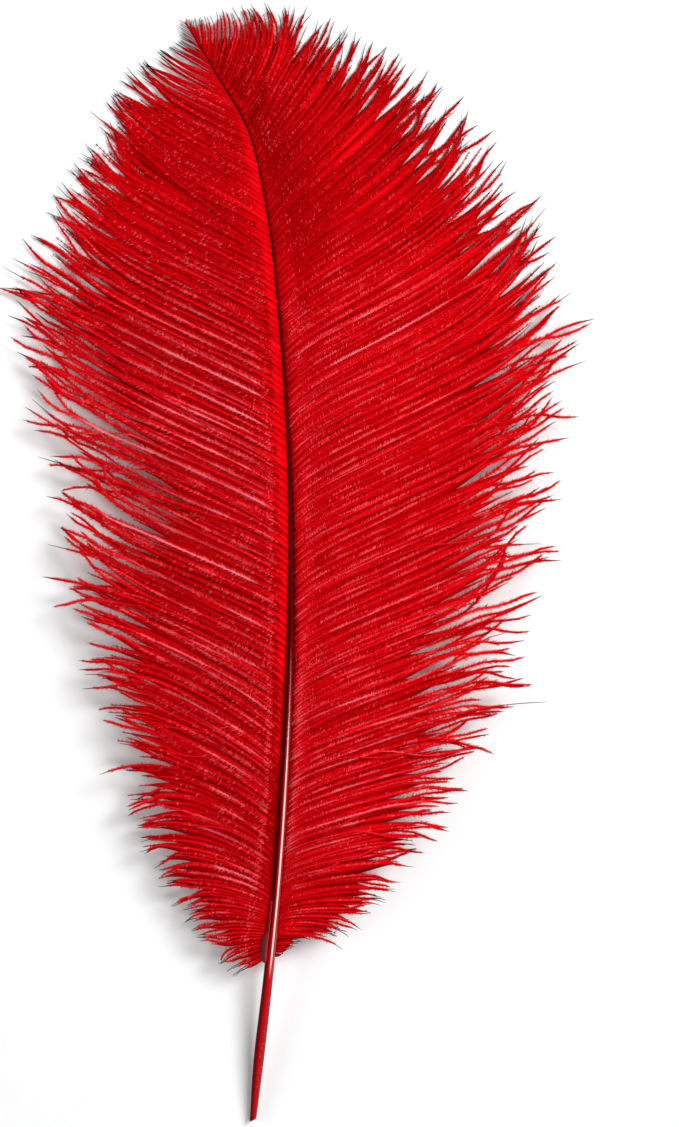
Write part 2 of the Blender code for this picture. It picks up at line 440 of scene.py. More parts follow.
@dataclass(frozen=True)
class DyedBarbs:
    """Soft dyed barbs and barbules: scarlet, with painted highlights where strands stand out, dark in the
    bare hair tips.

    The map's first axis is the strand's own shade, which also carries painted shade and painted highlights;
    its second runs from the root to the tip.

    Attributes:
        deep, dye, bright, pale: the dye from the lowest shade to the highest, deep also painting shade and
            pale highlights.
        dye_at, bright_at: the shades of its middle two colours.
        hair, dipped: the tips, black on strands of a low shade and a dark red on the others.
        tipped: where along a strand the tip's colour comes in.
        dipped_over: the shades between which the black gives way to the dark red.
        roughness, shine, shine_tint: the soft gloss.
    """

    deep: Colour = (0.385, 0.0001, 0.0010)
    dye: Colour = (0.740, 0.0004, 0.0040)
    bright: Colour = (0.860, 0.0090, 0.0180)
    pale: Colour = (1.000, 0.2300, 0.2700)
    dye_at: float = 0.42
    bright_at: float = 0.72
    hair: Colour = (0.010, 0.0010, 0.0016)
    dipped: Colour = (0.110, 0.0008, 0.0040)
    tipped: Span = (0.80, 0.90)
    dipped_over: Span = (0.10, 0.34)
    roughness: float = 0.45
    shine: float = 0.08
    shine_tint: Colour = (1.0, 0.16, 0.19)

    def material(self) -> bpy.types.Material:
        """Makes the material.

        Returns:
            The material.
        """
        graph = Graph("dyed barbs")
        shade, along = graph.map_axes()
        stops = ((0.0, self.deep), (self.dye_at, self.dye), (self.bright_at, self.bright), (1.0, self.pale))
        dyed = graph.node("ShaderNodeValToRGB", {"stops": stops}, {0: shade}).outputs[0]
        tip = graph.mix(shade.step(*self.dipped_over), self.hair, self.dipped)
        return graph.finish(
            {
                "Base Color": graph.mix(along.step(*self.tipped), dyed, tip),
                "Roughness": self.roughness,
                "Specular IOR Level": self.shine,
                "Specular Tint": (*self.shine_tint, 1),
            }
        )


@dataclass(frozen=True)
class DyedQuill:
    """The glossy shaft: deep red keratin with fibres along it, a dark wine red towards the tip.

    The map's first axis runs round the shaft from its left over the top to its right and back below, and its
    second runs from the quill's cut end (0) to the tip (1). The spans named across run from the shaft's left
    (0) to its right (1), and levels are those of the noise. The other spans lie along the shaft.
    """

    body: Colour = (0.340, 0.0006, 0.0020)
    # bright: the red of the painted light on the shaft's right side
    bright: Colour = (0.560, 0.0020, 0.0070)
    # dark: painted shade on the left side and the rim, and the dark flecks and the cut end
    dark: Colour = (0.060, 0.0010, 0.0030)
    tip: Colour = (0.050, 0.0002, 0.0004)
    # The colour of the painted highlights: the pale line along the rachis and the glints
    painted_highlight_cream: Colour = (1.000, 0.7000, 0.6200)

    # The brighter red: painted light on the right side, where the key light falls, and the fibres' own grain
    painted_light_across: Span = (0.40, 0.75)
    painted_light_share: float = 0.6
    fibre_grain: Scale = (46, 14, 1)
    fibre_share: float = 0.35

    # Painted shade on the sides: the left, wider from where the vanes begin, and the right rim
    vaned: Span = (0.15, 0.20)
    painted_shade_across: Span = (0.12, 0.40)
    painted_shade_wider: Span = (0.14, 0.12)
    painted_shade_share: float = 0.92
    painted_rim_shade_across: Span = (0.76, 0.92)
    painted_rim_shade_share: float = 0.75

    # The pale line along the rachis, a painted highlight: its place and half width round the shaft, where it
    # comes in and goes
    painted_highlight_around: float = 0.318
    line_width: Span = (0.024, 0.054)
    painted_highlight_in: Span = (0.135, 0.16)
    painted_highlight_out: Span = (0.27, 0.40)

    # The dark flecks of the bare quill, its pale glints, which are painted highlights, and its dark cut end
    speck_detail: float = 2
    fleck_grain: Scale = (18, 150, 1)
    fleck_levels: Span = (0.55, 0.72)
    fleck_out: Span = (0.10, 0.16)
    fleck_share: float = 0.5
    glint_grain: Scale = (60, 330, 1)
    glint_levels: Span = (0.64, 0.72)
    glint_in: Span = (0.02, 0.04)
    glint_out: Span = (0.10, 0.14)
    glint_across: Span = (0.40, 0.60)
    glint_share: float = 0.55
    cut: Span = (0.0, 0.012)
    cut_share: float = 0.9

    # The wine red of the upper shaft
    upper_in: Span = (0.28, 0.46)
    upper_full: Span = (0.5, 0.7)
    upper_share: float = 0.88
    upper_more: float = 0.12

    # The gloss: duller on the bare quill and in the upper shaft, with a coat on the right of the lower rachis
    roughness: float = 0.17
    quill_dull: float = 0.14
    quill_out: Span = (0.08, 0.16)
    upper_dull: float = 0.12
    upper_dull_in: Span = (0.3, 0.5)
    fibre_relief: float = 0.12
    fibre_depth: float = 0.0002
    coat_least: float = 0.25
    coat_more: float = 0.75
    coat_in: Span = (0.12, 0.17)
    coat_out: Span = (0.30, 0.45)
    coat_across: Span = (0.30, 0.56)
    coat_roughness: float = 0.08
    coat_ior: float = 1.8
    shine: float = 0.05
    shine_tint: Colour = (1.0, 0.30, 0.30)

    def material(self) -> bpy.types.Material:
        """Makes the material.

        Returns:
            The material.
        """
        graph = Graph("dyed quill")
        around, along = graph.map_axes()
        places = graph.node("ShaderNodeUVMap", {"uv_map": MAP}).outputs["UV"]
        across = 1 - abs(2 * around - 1)
        fibre = graph.noise(self.fibre_grain, places)
        # Painted light on the right side, mixed with the fibres' own grain
        lit = across.step(*self.painted_light_across) * self.painted_light_share + fibre * self.fibre_share
        vaned = along.step(*self.vaned)
        # Where the painted shade on the left side ends, farther right from where the vanes begin
        left = (side + wider * vaned for side, wider in zip(self.painted_shade_across, self.painted_shade_wider))
        # The painted highlight's band round the shaft
        line = abs(around - self.painted_highlight_around).fall(*self.line_width)
        flecks = graph.noise(self.fleck_grain, places, self.speck_detail).step(*self.fleck_levels)
        # Painted glints: small painted highlights on the bare quill
        glints = graph.noise(self.glint_grain, places, self.speck_detail).step(*self.glint_levels)
        glints = glints * along.step(*self.glint_in) * along.fall(*self.glint_out)
        upper = self.upper_share + self.upper_more * along.step(*self.upper_full)
        colour = graph.mix(lit, self.body, self.bright)
        # Laid on in turn: painted shade left and at the rim, the painted highlight line, flecks, painted
        # glints, cut end, upper
        for share, over in (
            (across.fall(*left) * self.painted_shade_share, self.dark),
            (across.step(*self.painted_rim_shade_across) * self.painted_rim_shade_share, self.dark),
            (line * along.step(*self.painted_highlight_in) * along.fall(*self.painted_highlight_out), self.painted_highlight_cream),
            (flecks * along.fall(*self.fleck_out) * self.fleck_share, self.dark),
            (glints * across.step(*self.glint_across) * self.glint_share, self.painted_highlight_cream),
            (along.fall(*self.cut) * self.cut_share, self.dark),
            (along.step(*self.upper_in) * upper, self.tip),
        ):
            colour = graph.mix(share, colour, over)
        dull = along.fall(*self.quill_out) * self.quill_dull
        dull = dull + along.step(*self.upper_dull_in) * self.upper_dull
        relief = {"Height": fibre, "Strength": self.fibre_relief, "Distance": self.fibre_depth}
        coat = (self.coat_least + self.coat_more * along.step(*self.coat_in)) * along.fall(*self.coat_out)
        return graph.finish(
            {
                "Base Color": colour,
                "Roughness": self.roughness + dull,
                "Normal": graph.node("ShaderNodeBump", {}, relief).outputs[0],
                "Coat Weight": coat * across.step(*self.coat_across),
                "Coat Roughness": self.coat_roughness,
                "Coat IOR": self.coat_ior,
                "Specular IOR Level": self.shine,
                "Specular Tint": (*self.shine_tint, 1),
            }
        )


@dataclass(frozen=True)
class DarkFlapFinish:
    """The dull brown flap beside the shaft at the foot of the left vane, dyed red at its thin edges.

    The map's first axis runs from the shaft outwards, its second from the quill's side to the tip's.

    Attributes:
        dull, dark: the flap's brown, and its darker grain.
        dyed: its thin edges.
        grain: how fine its grain is.
        dark_levels: the grain's levels between which the skin turns dark.
        thin_out: where across the flap its outer edge grows thin.
        thin_high, high_share: where along it its upper end does, and how much that counts.
        thin_low, low_share: the same for its lower end.
        grain_share, grain_shift: how much the grain breaks the edge up.
        dyed_over: how thin the skin is where the dye comes in and is complete.
        roughness: how matt it is.
    """

    dull: Colour = (0.150, 0.016, 0.022)
    dark: Colour = (0.080, 0.008, 0.012)
    dyed: Colour = (0.480, 0.002, 0.008)
    grain: Scale = (2600, 500, 900)
    dark_levels: Span = (0.35, 0.65)
    thin_out: Span = (0.55, 1.0)
    thin_high: Span = (0.25, 0.9)
    high_share: float = 0.5
    thin_low: Span = (0.0, 0.12)
    low_share: float = 0.4
    grain_share: float = 0.5
    grain_shift: float = 0.25
    dyed_over: Span = (0.2, 0.9)
    roughness: float = 0.75

    def material(self) -> bpy.types.Material:
        """Makes the material.

        Returns:
            The material.
        """
        graph = Graph("dark flap")
        out, along = graph.map_axes()
        grain = graph.noise(self.grain, graph.node("ShaderNodeTexCoord").outputs["Object"])
        worn = graph.mix(grain.step(*self.dark_levels), self.dull, self.dark)
        thin = out.step(*self.thin_out) + along.step(*self.thin_high) * self.high_share
        thin = thin + along.fall(*self.thin_low) * self.low_share
        thin = thin + grain * self.grain_share - self.grain_shift
        edged = graph.mix(thin.step(*self.dyed_over), worn, self.dyed)
        return graph.finish({"Base Color": edged, "Roughness": self.roughness})


@dataclass(frozen=True)
class PalePaper:
    """The plain white sheet of the studio floor."""

    light: Colour = (0.93, 0.93, 0.93)
    shade: Colour = (0.90, 0.90, 0.905)
    tooth: Scale = (90, 90, 90)
    roughness: float = 0.9
    shine: float = 0.1

    def material(self) -> bpy.types.Material:
        """Makes the material.

        Returns:
            The material.
        """
        graph = Graph("pale paper")
        tooth = graph.noise(self.tooth, graph.node("ShaderNodeTexCoord").outputs["Object"])
        colour = graph.mix(tooth, self.light, self.shade)
        return graph.finish(
            {"Base Color": colour, "Roughness": self.roughness, "Specular IOR Level": self.shine}
        )


@dataclass(frozen=True)
class Strands:
    """Strands as lines, each with its own frames: all arrays go strand by strand, then point by point.

    Attributes:
        points: their points.
        forward, sideways, upward: the ways along, across and square to each strand, at each point.
        travelled: the length from the root to each point.
        width: half the width at each point.
        shade: the map's first axis at each point, from deep (0) to pale (1).
        crest: how much each strand stands out, from 0 to 1, which sets how many of its barbules carry painted
            highlights.
        bare_tip: the length of each strand's tip that has no barbules.
        fringe: how closely barbules grow on each strand, beside the usual.
    """

    points: Array
    forward: Array
    sideways: Array
    upward: Array
    travelled: Array
    width: Array
    shade: Array
    crest: Array
    bare_tip: Array
    fringe: Array

    def along(self) -> Array:
        """Works out the map's second axis.

        Returns:
            One number for each point, rising through the shares of the root, the body and the bare hair.
        """
        hair = HAIR_OVER * self.bare_tip[:, None]
        length = self.travelled[:, -1:]
        left = length - self.travelled
        body = np.maximum(length - ROOT_LENGTH - hair, LEAST_BODY)
        return (
            ROOT_SHARE * np.clip(self.travelled / ROOT_LENGTH, 0, 1)
            + BODY_SHARE * np.clip((self.travelled - ROOT_LENGTH) / body, 0, 1)
            + HAIR_SHARE * np.clip(1 - left / hair, 0, 1)
        )

    def some(self, chosen: Array) -> "Strands":
        """Gives only the chosen strands."""
        return Strands(*(getattr(self, name)[chosen] for name in self.__dataclass_fields__))


def lay_frames(points: Array, roll: Array) -> tuple[Array, Array, Array, Array]:
    """Works out the frames along strands.

    Args:
        points: the strands' points.
        roll: how far each frame is turned about its strand, in radians.

    Returns:
        The ways forward, sideways and up at each point, and the length travelled from the root.
    """
    forward = unit(np.gradient(points, axis=1))
    level = unit(np.cross((0.0, 0.0, 1.0), forward))
    over = np.cross(forward, level)
    turn = roll[..., None]
    sideways = level * np.cos(turn) + over * np.sin(turn)
    upward = np.cross(forward, sideways)
    steps = np.linalg.norm(np.diff(points, axis=1), axis=2)
    travelled = np.concatenate((np.zeros((len(points), 1)), np.cumsum(steps, axis=1)), axis=1)
    return forward, sideways, upward, travelled


def new_piece(name: str, points: Array, faces: Sequence[Array], places: Array) -> bpy.types.Object:
    """Makes a mesh piece from arrays.

    Args:
        name: the piece's name.
        points: its vertices.
        faces: arrays of faces by their vertices, each array with one number of corners.
        places: each vertex's place on the piece's map.

    Returns:
        The new object, at the origin.
    """
    mesh = bpy.data.meshes.new(name)
    corners = np.concatenate([part.ravel() for part in faces]).astype(np.int32)
    counts = np.concatenate([np.full(len(part), part.shape[1]) for part in faces])
    starts = np.concatenate(((0,), np.cumsum(counts)[:-1])).astype(np.int32)
    mesh.vertices.add(len(points))
    mesh.vertices.foreach_set("co", points.astype(np.float32).ravel())
    mesh.loops.add(len(corners))
    mesh.loops.foreach_set("vertex_index", corners)
    mesh.polygons.add(len(starts))
    mesh.polygons.foreach_set("loop_start", starts)
    mesh.update(calc_edges=True)
    layer = mesh.uv_layers.new(name=MAP)
    layer.uv.foreach_set("vector", places[corners].astype(np.float32).ravel())
    mesh.shade_smooth()
    made = bpy.data.objects.new(name, mesh)
    bpy.context.scene.collection.objects.link(made)
    return made


def dress(piece: bpy.types.Object, material: bpy.types.Material) -> None:
    """Gives a piece its finish, and joins it to the feather in place of the solid.

    Args:
        piece: the piece.
        material: its finish.
    """
    piece.data.materials.clear()
    piece.data.materials.append(material)
    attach(piece, BODY)
    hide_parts(NODE)
    triangles = sum(len(face.vertices) - 2 for face in piece.data.polygons)
    logging.info("%s: %d triangles", piece.name, triangles)


@dataclass(frozen=True)
class Habit:
    """What sets one side's growth apart from the other's.

    Attributes:
        bunch_sizes, lock_sizes: the fewest and most barbs in a bunch and in a lock.
        shade: the barbs' shade.
        painted_crest_highlight: how much paler the crests of the bunches are, a painted highlight on them.
        comb_shade: the barbs' shade beside the shaft, so pale on the right that it paints highlights on the
            lines.
        comb_painted_shade: how much darker the underlayer is there, painted shade in the gaps between the
            barbs.
        upper_dark: how much darker the barbs are in the even upper part.
        bare_root: the stretch of a barb's root with no barbules.
        tip_bare, tip_slim, tip_hair: at the feather's tip, how much longer that stretch is, what share of
            their length the barbules lose, and how much longer the barbs' bare ends are.
        ridge_rise: how far the middle of a bunch stands above its sides.
        strokes: the share of pale barbules on a crest, which paint highlights on it.
        stroke_shades: their least and greatest shade.
        stroke_length, stroke_lean: their length beside the others', and the angle that they lean by.
        strokes_below: whether they grow on the barb's side towards the quill, not the tip.
        stroke_reach: how far from the shaft they begin to be fewer.
        speckles: the share of pale barbules in a column beside the shaft.
    """

    bunch_sizes: tuple[int, int]
    lock_sizes: tuple[int, int]
    shade: float
    painted_crest_highlight: float
    comb_shade: float
    comb_painted_shade: float
    upper_dark: float
    bare_root: float
    tip_bare: float
    tip_slim: float
    tip_hair: float
    ridge_rise: float
    strokes: float
    stroke_shades: Span
    stroke_length: float
    strokes_below: bool
    stroke_lean: float
    stroke_reach: float
    speckles: float


@dataclass(frozen=True)
class Gathering:
    """How barbs are drawn together. Places on a barb are shares of it, from the root (0) to the tip (1)."""

    # How much roots, barbs, and bunches or locks differ by chance: metres, shares of the reach, degrees
    root_stray: float = 0.0002
    own_reach: float = 0.02
    own_rise: float = 0.7
    run_reach: float = 0.04
    run_rise: float = 2.4
    # Where in its bunch the crest lies, from -0.5 to 0.5
    crest_place: float = 0.1
    # How far bunches close, and where they start to, beside the table's: at least, and more by chance
    close: Span = (0.70, 0.55)
    start: Span = (0.85, 0.3)
    most_closed: float = 0.93
    bunch_end: float = 1.02
    lock_end: float = 1.05
    # How far the top barbs close near the shaft already
    drawn: float = 0.18
    drawn_in: Span = (0.04, 0.22)
    # Where the vane comes to its thickness, and the share of it that is lost to the tip
    thick_in: Span = (0.02, 0.16)
    thin_end: float = 0.5
    # The powers of the calm that lessen the ridges and the underlayer's drop
    calm_ridges: float = 0.8
    calm_drop: float = 0.6
    # How far the underlayer closes beside the barbs, and the least reach that it grows at
    layer_pull: float = 0.4
    least_layer: float = 0.3


@dataclass(frozen=True)
class Waver:
    """How barbs wave and stray: waves to a barb, turns in degrees, places as shares of the barb."""

    # A bunch's shared wave, and a barb's own
    bunch_waves: float = 0.9
    bunch_turn: float = 2.2
    own_waves: float = 1.4
    own_turn: float = 1.6
    # How far an end strays by itself, beside its bunch's
    own_stray: float = 0.6
    end: Span = (0.55, 1.0)
    # The short curls of the ends, beside the table's stray
    curls: float = 4.5
    curl_turn: float = 0.8
    curl_in: Span = (0.62, 0.85)


@dataclass(frozen=True)
class LooseBarbs:
    """The barbs that swerve and lie across their neighbours; pairs are the least and greatest by chance."""

    count: int = 22
    roots: Span = (-0.130, 0.150)
    reach: Span = (0.80, 0.98)
    rise_spread: float = 2.0
    # The swerve in degrees, the share of the barb where it starts, and how far on it is done and turns back
    swerve: Span = (12, 30)
    start: Span = (0.25, 0.60)
    done: float = 0.10
    back: Span = (0.18, 0.34)
    # The height above the ridges, the shade, and how closely barbules grow beside the usual
    lift: float = 0.0003
    shade: float = 0.60
    fringe: float = 0.25


@dataclass(frozen=True)
class BarbForm:
    """The barbs' sizes, in metres where nothing else is said."""

    # The longest barb beside the vane's reach, and how much shorter others are by chance: at least, more for
    # each degree that the ends stray, and the power that makes short ones rare
    full: float = 1.04
    short_least: float = 0.05
    short_stray: float = 0.011
    short_power: float = 1.5
    # How far a barb twists to and fro, how often, and how far it leans, in radians
    twist: float = 0.38
    turns: float = 0.9
    tilt: float = 0.12
    # The y between which the ends grow hairy, how hairy the lowest are, and the y of the feather's tip
    haired_in: Span = (0.010, 0.060)
    lower_haired: float = 0.7
    lower_out: Span = (-0.135, -0.105)
    tip_in: Span = (0.150, 0.180)
    # A bare end's length: at least, more by chance, more on hairy barbs, its share on the lower barbs, and
    # what share of a barb is bare past the last fringed one
    hair_least: float = 0.0012
    hair_chance: float = 0.0045
    hair_power: int = 3
    hair_more: float = 0.0032
    hair_spread: Span = (0.4, 1.5)
    low_hair: float = 0.6
    naked_share: float = 0.95
    # Half the width in the vane, on a crest, in the loose end, at the root and in the bare hair
    inner: float = 0.00024
    crest: float = 0.00027
    outer: float = 0.00044
    root: float = 0.00023
    hair: float = 0.00017
    width_least: float = 0.85
    width_more: float = 0.3
    # Where those change: before the tip, from the root, and in bare ends before the tip
    outer_over: Span = (0.012, 0.045)
    root_out: Span = (0.003, 0.010)
    hair_over: Span = (0.85, 1.5)
    # The lengths of barb between which the whole of it is slimmer, and the pointed end
    short_barb: Span = (0.010, 0.050)
    short_width: float = 0.8
    point: float = 0.0012
    point_width: float = 0.4
    # Half the thickness beside half the width, and what it has more
    flatness: float = 0.42
    keel: float = 0.00003
    # How closely barbules grow on the lower barbs, and how much the top barbs stand out that are no crests
    low_fringe: float = 0.7
    low_crest: float = 0.35


@dataclass(frozen=True)
class BarbShades:
    """The barbs' shades beside their side's own, with lengths in metres."""

    # What top and lower barbs differ by, the lower ones' painted shade, and the spread by chance, alone and
    # with the bunch
    levels: Span = (0.02, -0.03)
    spread: float = 0.07
    bunch_spread: float = 0.03
    # A crest's painted highlight: its start from the root, where it fades as a share of the barb, its
    # strength
    ridge_least: float = 0.006
    ridge_more: float = 0.014
    ridge_in: float = 0.005
    ridge_fade: Span = (0.35, 0.75)
    ridge_out: float = 0.2
    ridge_lost: float = 0.85
    ridge_strength: Span = (0.35, 1.1)
    # The change from point to point on top barbs, and where from the root it begins
    flicker: float = 0.06
    flicker_in: Span = (0.005, 0.012)
    # The comb beside the shaft: the y where it begins and ends, its reach from the root, its strength
    comb_low: Span = (-0.140, -0.100)
    comb_high: Span = (0.090, 0.140)
    comb_out: Span = (0.004, 0.010)
    comb_share: float = 0.9
    # What the comb's top and lower barbs differ by: painted shade on the lower ones
    comb_levels: Span = (0.04, -0.12)
    # The share of a bare end that is black, and how black
    black_part: float = 0.9
    blackness: float = 0.95
    # How much darker the loose ends are, and the last of them once more, by the length left to the tip
    broad_dark: float = 0.09
    end_dark: float = 0.20
    end_over: Span = (0.004, 0.022)
    # How much a barb's two edges differ from its middle
    edge: float = 0.008


@dataclass(frozen=True)
class Underlayer:
    """The broad strands beneath the barbs, in metres and shares of a strand."""

    # How far they lie below the barbs, and the share of their reach that they may lack by chance
    drop: float = 0.0009
    uneven: float = 0.10
    # How far a strand twists to and fro, how often, and how far it leans, in radians
    twist: float = 0.16
    turns: float = 0.8
    tilt: float = 0.10
    # Half the width: beside the room to the neighbour, least, most by the strand's length, and its narrow end
    overlap: float = 0.68
    least_width: float = 0.0008
    slim_share: float = 0.05
    slim_width: float = 0.0004
    taper: Span = (0.55, 1.02)
    taper_power: float = 1.2
    point: float = 0.0001
    flatness: float = 0.16
    # How much darker than the barbs they are, everywhere as painted shade beneath them and in their ends; the
    # spread by chance
    darker: float = 0.02
    spread: float = 0.06
    end_dark: float = 0.12
    end_in: Span = (0.5, 0.9)
    # Their barbules: the bare tip, the room between two pairs, and the least and greatest raise in radians
    bare_tip: float = 0.0005
    gap: float = 0.0014
    lift: Span = (-0.45, -0.05)


@dataclass(frozen=True)
class BarbuleForm:
    """The barbules on the barbs. Over stands for the length left to the barb's end."""

    # The room between two pairs, and the share of it that a pair strays by
    gap: float = 0.00037
    gap_stray: float = 0.4
    # The length and half the width, with the least and greatest share of the length by chance
    reach: float = 0.0026
    reach_spread: Span = (0.6, 1.15)
    width: float = 0.00027
    stout_over: Span = (0.020, 0.040)
    stout: Span = (1.3, 1.0)
    # The share of the length past the bare root, and towards the barb's end
    root_past: Row = (0, 0.003, 0.012)
    root_reach: Row = (0.45, 0.75, 1.0)
    end_over: Row = (0.003, 0.008, 0.020, 0.045)
    end_reach: Row = (0.35, 0.55, 0.78, 1.0)
    # The y between which barbules grow shorter, and the bare roots longer, at the feather's tip
    slim_in: Span = (0.165, 0.190)
    bare_in: Span = (0.186, 0.196)
    # The degrees that they lean forward by, and the spread in radians
    lean_over: Row = (0.006, 0.020, 0.050)
    lean: Row = (50, 48, 55)
    lean_spread: float = 0.16
    # The least and greatest raise in radians, what those on the quill's side have less, a stroke's least
    lift: Span = (0.02, 0.34)
    lower_low: float = 0.35
    lower_high: float = 0.30
    stroke_lift: float = 0.05
    # On the barb: the drop of their feet beside their width, the rise of their back beside the barb's
    foot_drop: float = 0.3
    back_over: float = 0.42
    back_rise: float = 0.00010
    # The pale ones on crests, painted highlights, come in patches: the patch's length, their middle share and
    # its limits
    patches: Span = (0.014, 0.034)
    patch_middle: float = 0.7
    patch_limits: Span = (0.1, 1.3)
    # Their share everywhere, from where on the barb they grow, towards its end, and past the strokes' reach
    pale_least: float = 0.026
    pale_in: Span = (0.004, 0.008)
    pale_over: Span = (0.01, 0.04)
    pale_share: Span = (0.25, 1.0)
    pale_lost: float = 0.65
    pale_out: float = 1.9
    # Their width, and how much paler they are where they are no strokes
    pale_stout: float = 1.2
    pale_more: float = 0.10
    # The column of pale ones: its distance from the root, its width, the y where it fades and how far
    speckle_place: float = 0.0090
    speckle_width: float = 0.0012
    speckle_out: Span = (0.030, 0.090)
    speckle_lost: float = 0.85
    # The share of a barb's pale that barbules lack, how much darker the quill's side is as painted shade, and
    # the spread
    plainness: float = 0.7
    lower_painted_shade: float = 0.04
    spread: float = 0.06
    # What the shades of the three points on the barb differ by, and how far on the map the pair reaches
    collar_shades: Row = (-0.02, 0.01, 0.03)
    ahead: float = 0.003
    # How far past the last pair the fringed part ends, and the least height of a point
    end_room: float = 0.004
    floor: float = 0.00005


@dataclass
class Vane:
    """One side of the feather: its barbs, the barbules on them and the matted underlayer.

    Attributes:
        side: which vane it is.
        sweep, gather, strays: its tables.
        habit: what sets it apart from the other.
        seed: the seed of its chance.
        naked_from: the y from which its barbs have no fringe.
        line_points, strand_points: the points of a line, and of a strand that is read from it.
        longest: how far lines are carried on, beside the vane's reach.
        floor_room, floor_round: the least height of a strand's middle, and how rounded the bend to it is.
        root_sink, root_out: how far below and beside the shaft's middle the roots lie, in the shaft's radii.
        top_rise, under_drop: how far the top barbs rise above the vane, and the others sink.
        crown, crown_skew, full_crown_reach: the vane's own arch, how far it leans to the shaft, and the
            reach from which it is complete.
        hook_share: the share of a barb over which it turns away from the shaft.
        even_in, lively_in, evenness: the y between which the vane turns even, those between which it grows
            lively again at its top, and how far both go.
        bands: the number of pieces that its barbules are made in.
        gathering, wave, loose, form, shades, layer, barbule: how its strands gather, wave, grow and look.
        chance: its random numbers.
    """

    side: Side
    sweep: Rows
    gather: Rows
    strays: Rows
    habit: Habit
    seed: int
    naked_from: float
    line_points: int = 49
    strand_points: int = 19
    longest: float = 1.05
    floor_room: float = 0.00035
    floor_round: float = 0.6
    root_sink: float = 0.4
    root_out: float = 0.5
    top_rise: float = 0.0004
    under_drop: float = 0.0002
    crown: float = 0.0035
    crown_skew: float = 0.7
    full_crown_reach: float = 0.080
    hook_share: float = 0.10
    even_in: Span = (0.070, 0.125)
    lively_in: Span = (0.145, 0.175)
    evenness: float = 0.85
    bands: int = 3
    gathering: Gathering = Gathering()
    wave: Waver = Waver()
    loose: LooseBarbs = LooseBarbs()
    form: BarbForm = BarbForm()
    shades: BarbShades = BarbShades()
    layer: Underlayer = Underlayer()
    barbule: BarbuleForm = BarbuleForm()
    chance: np.random.Generator = field(init=False)

    def __post_init__(self) -> None:
        """Seeds the vane's own chance."""
        self.chance = np.random.default_rng(self.seed)

    @property
    def word(self) -> str:
        """The side's name."""
        return self.side.name.lower()

    def roots(self) -> Array:
        """Places the barbs' roots, closer together towards the tip.

        Returns:
            The y of each.
        """
        places = []
        y = self.sweep[0][0]
        while y < self.sweep[-1][0]:
            places.append(y)
            y += read_rows(BARB_PITCH, np.array([y]))[0, 0]
        return np.array(places)

    def lines(self, places: Array, reach_scale: Array, rise_shift: Array) -> Array:
        """Works out the lines that barbs follow, as the solid's locks do.

        Args:
            places: the y of each root.
            reach_scale: each barb's reach beside the usual one there.
            rise_shift: degrees that each barb is turned towards the tip.

        Returns:
            The points of each line.
        """
        reach, rise, hook, curl = (column[:, None] for column in read_rows(self.sweep, places).T)
        t = np.linspace(0, 1, self.line_points)
        middle = (t[1:] + t[:-1]) / 2
        heading = np.radians(hook * np.exp(-middle / self.hook_share) + curl * middle ** 2)
        plan = np.cumsum(np.stack((np.cos(heading), np.sin(heading)), axis=2), axis=1)
        plan = np.concatenate((np.zeros((len(places), 1, 2)), plan), axis=1)
        end = plan[:, -1]
        turn = np.radians(rise + rise_shift[:, None]) - np.arctan2(end[:, 1], end[:, 0])[:, None]
        scale = reach * reach_scale[:, None] / np.linalg.norm(end, axis=1)[:, None]
        across = scale * (plan[..., 0] * np.cos(turn) - plan[..., 1] * np.sin(turn))
        forward = scale * (plan[..., 0] * np.sin(turn) + plan[..., 1] * np.cos(turn))
        root = shaft_middle(places)
        radius = read_rows(SHAFT_LINE, places)[:, 2]
        start = (root[:, 2] - self.root_sink * radius)[:, None]
        edge = read_rows(EDGE_HEIGHT, places)
        crown = self.crown * self.fullness(places)
        height = edge + (start - edge) * (1 + np.cos(np.pi * t)) / 2
        height = height + crown * np.sin(np.pi * t ** self.crown_skew) ** 2
        x = root[:, :1] + self.side.value * (across + self.root_out * radius[:, None])
        return np.stack((x, root[:, 1:2] + forward, height), axis=2)

    def fullness(self, places: Array) -> Array:
        """Gives how full the vane is at each root: less where the barbs are short."""
        return np.minimum(1, read_rows(self.sweep, places)[:, :1] / self.full_crown_reach)

    def calm(self, places: Array) -> Array:
        """Gives how lively the vane is at each root: less in its upper part, somewhat more at its top."""
        lively = 1 - self.evenness * ease(places, *self.lively_in)
        return 1 - self.evenness * ease(places, *self.even_in) * lively

    def runs(self, count: int, sizes: tuple[int, int]) -> Array:
        """Parts barbs into runs of neighbours of random sizes and gives each barb's run."""
        lengths = self.chance.integers(sizes[0], sizes[1], count, endpoint=True)
        return np.repeat(np.arange(count), lengths)[:count]

    def middles(self, runs: Array, roots: Array) -> tuple[Array, Array]:
        """Finds the middles of runs.

        Args:
            runs: each barb's run.
            roots: the y of each root.

        Returns:
            The line of each barb's run, and where the barb lies in it, from -0.5 to 0.5.
        """
        size = np.bincount(runs)
        centre = np.bincount(runs, roots) / size
        reach = 1 + self.gathering.run_reach * self.chance.uniform(-1, 1, len(size))
        rise = self.gathering.run_rise * self.chance.uniform(-1, 1, len(size))
        first = np.searchsorted(runs, np.arange(len(size)))
        place = (np.arange(len(runs)) - first[runs] + 0.5) / size[runs] - 0.5
        return self.lines(centre, reach, rise)[runs], place

    def crests(self, bunches: Array, place: Array) -> Array:
        """Picks the barb nearest the middle of each bunch as its crest.

        Args:
            bunches: each barb's bunch.
            place: where each barb lies in its bunch.

        Returns:
            Which barbs are crests.
        """
        order = np.lexsort((np.abs(place - self.gathering.crest_place), bunches))
        first = np.searchsorted(bunches[order], np.arange(bunches[-1] + 1))
        crest = np.zeros(len(bunches), dtype=bool)
        crest[order[first]] = True
        return crest

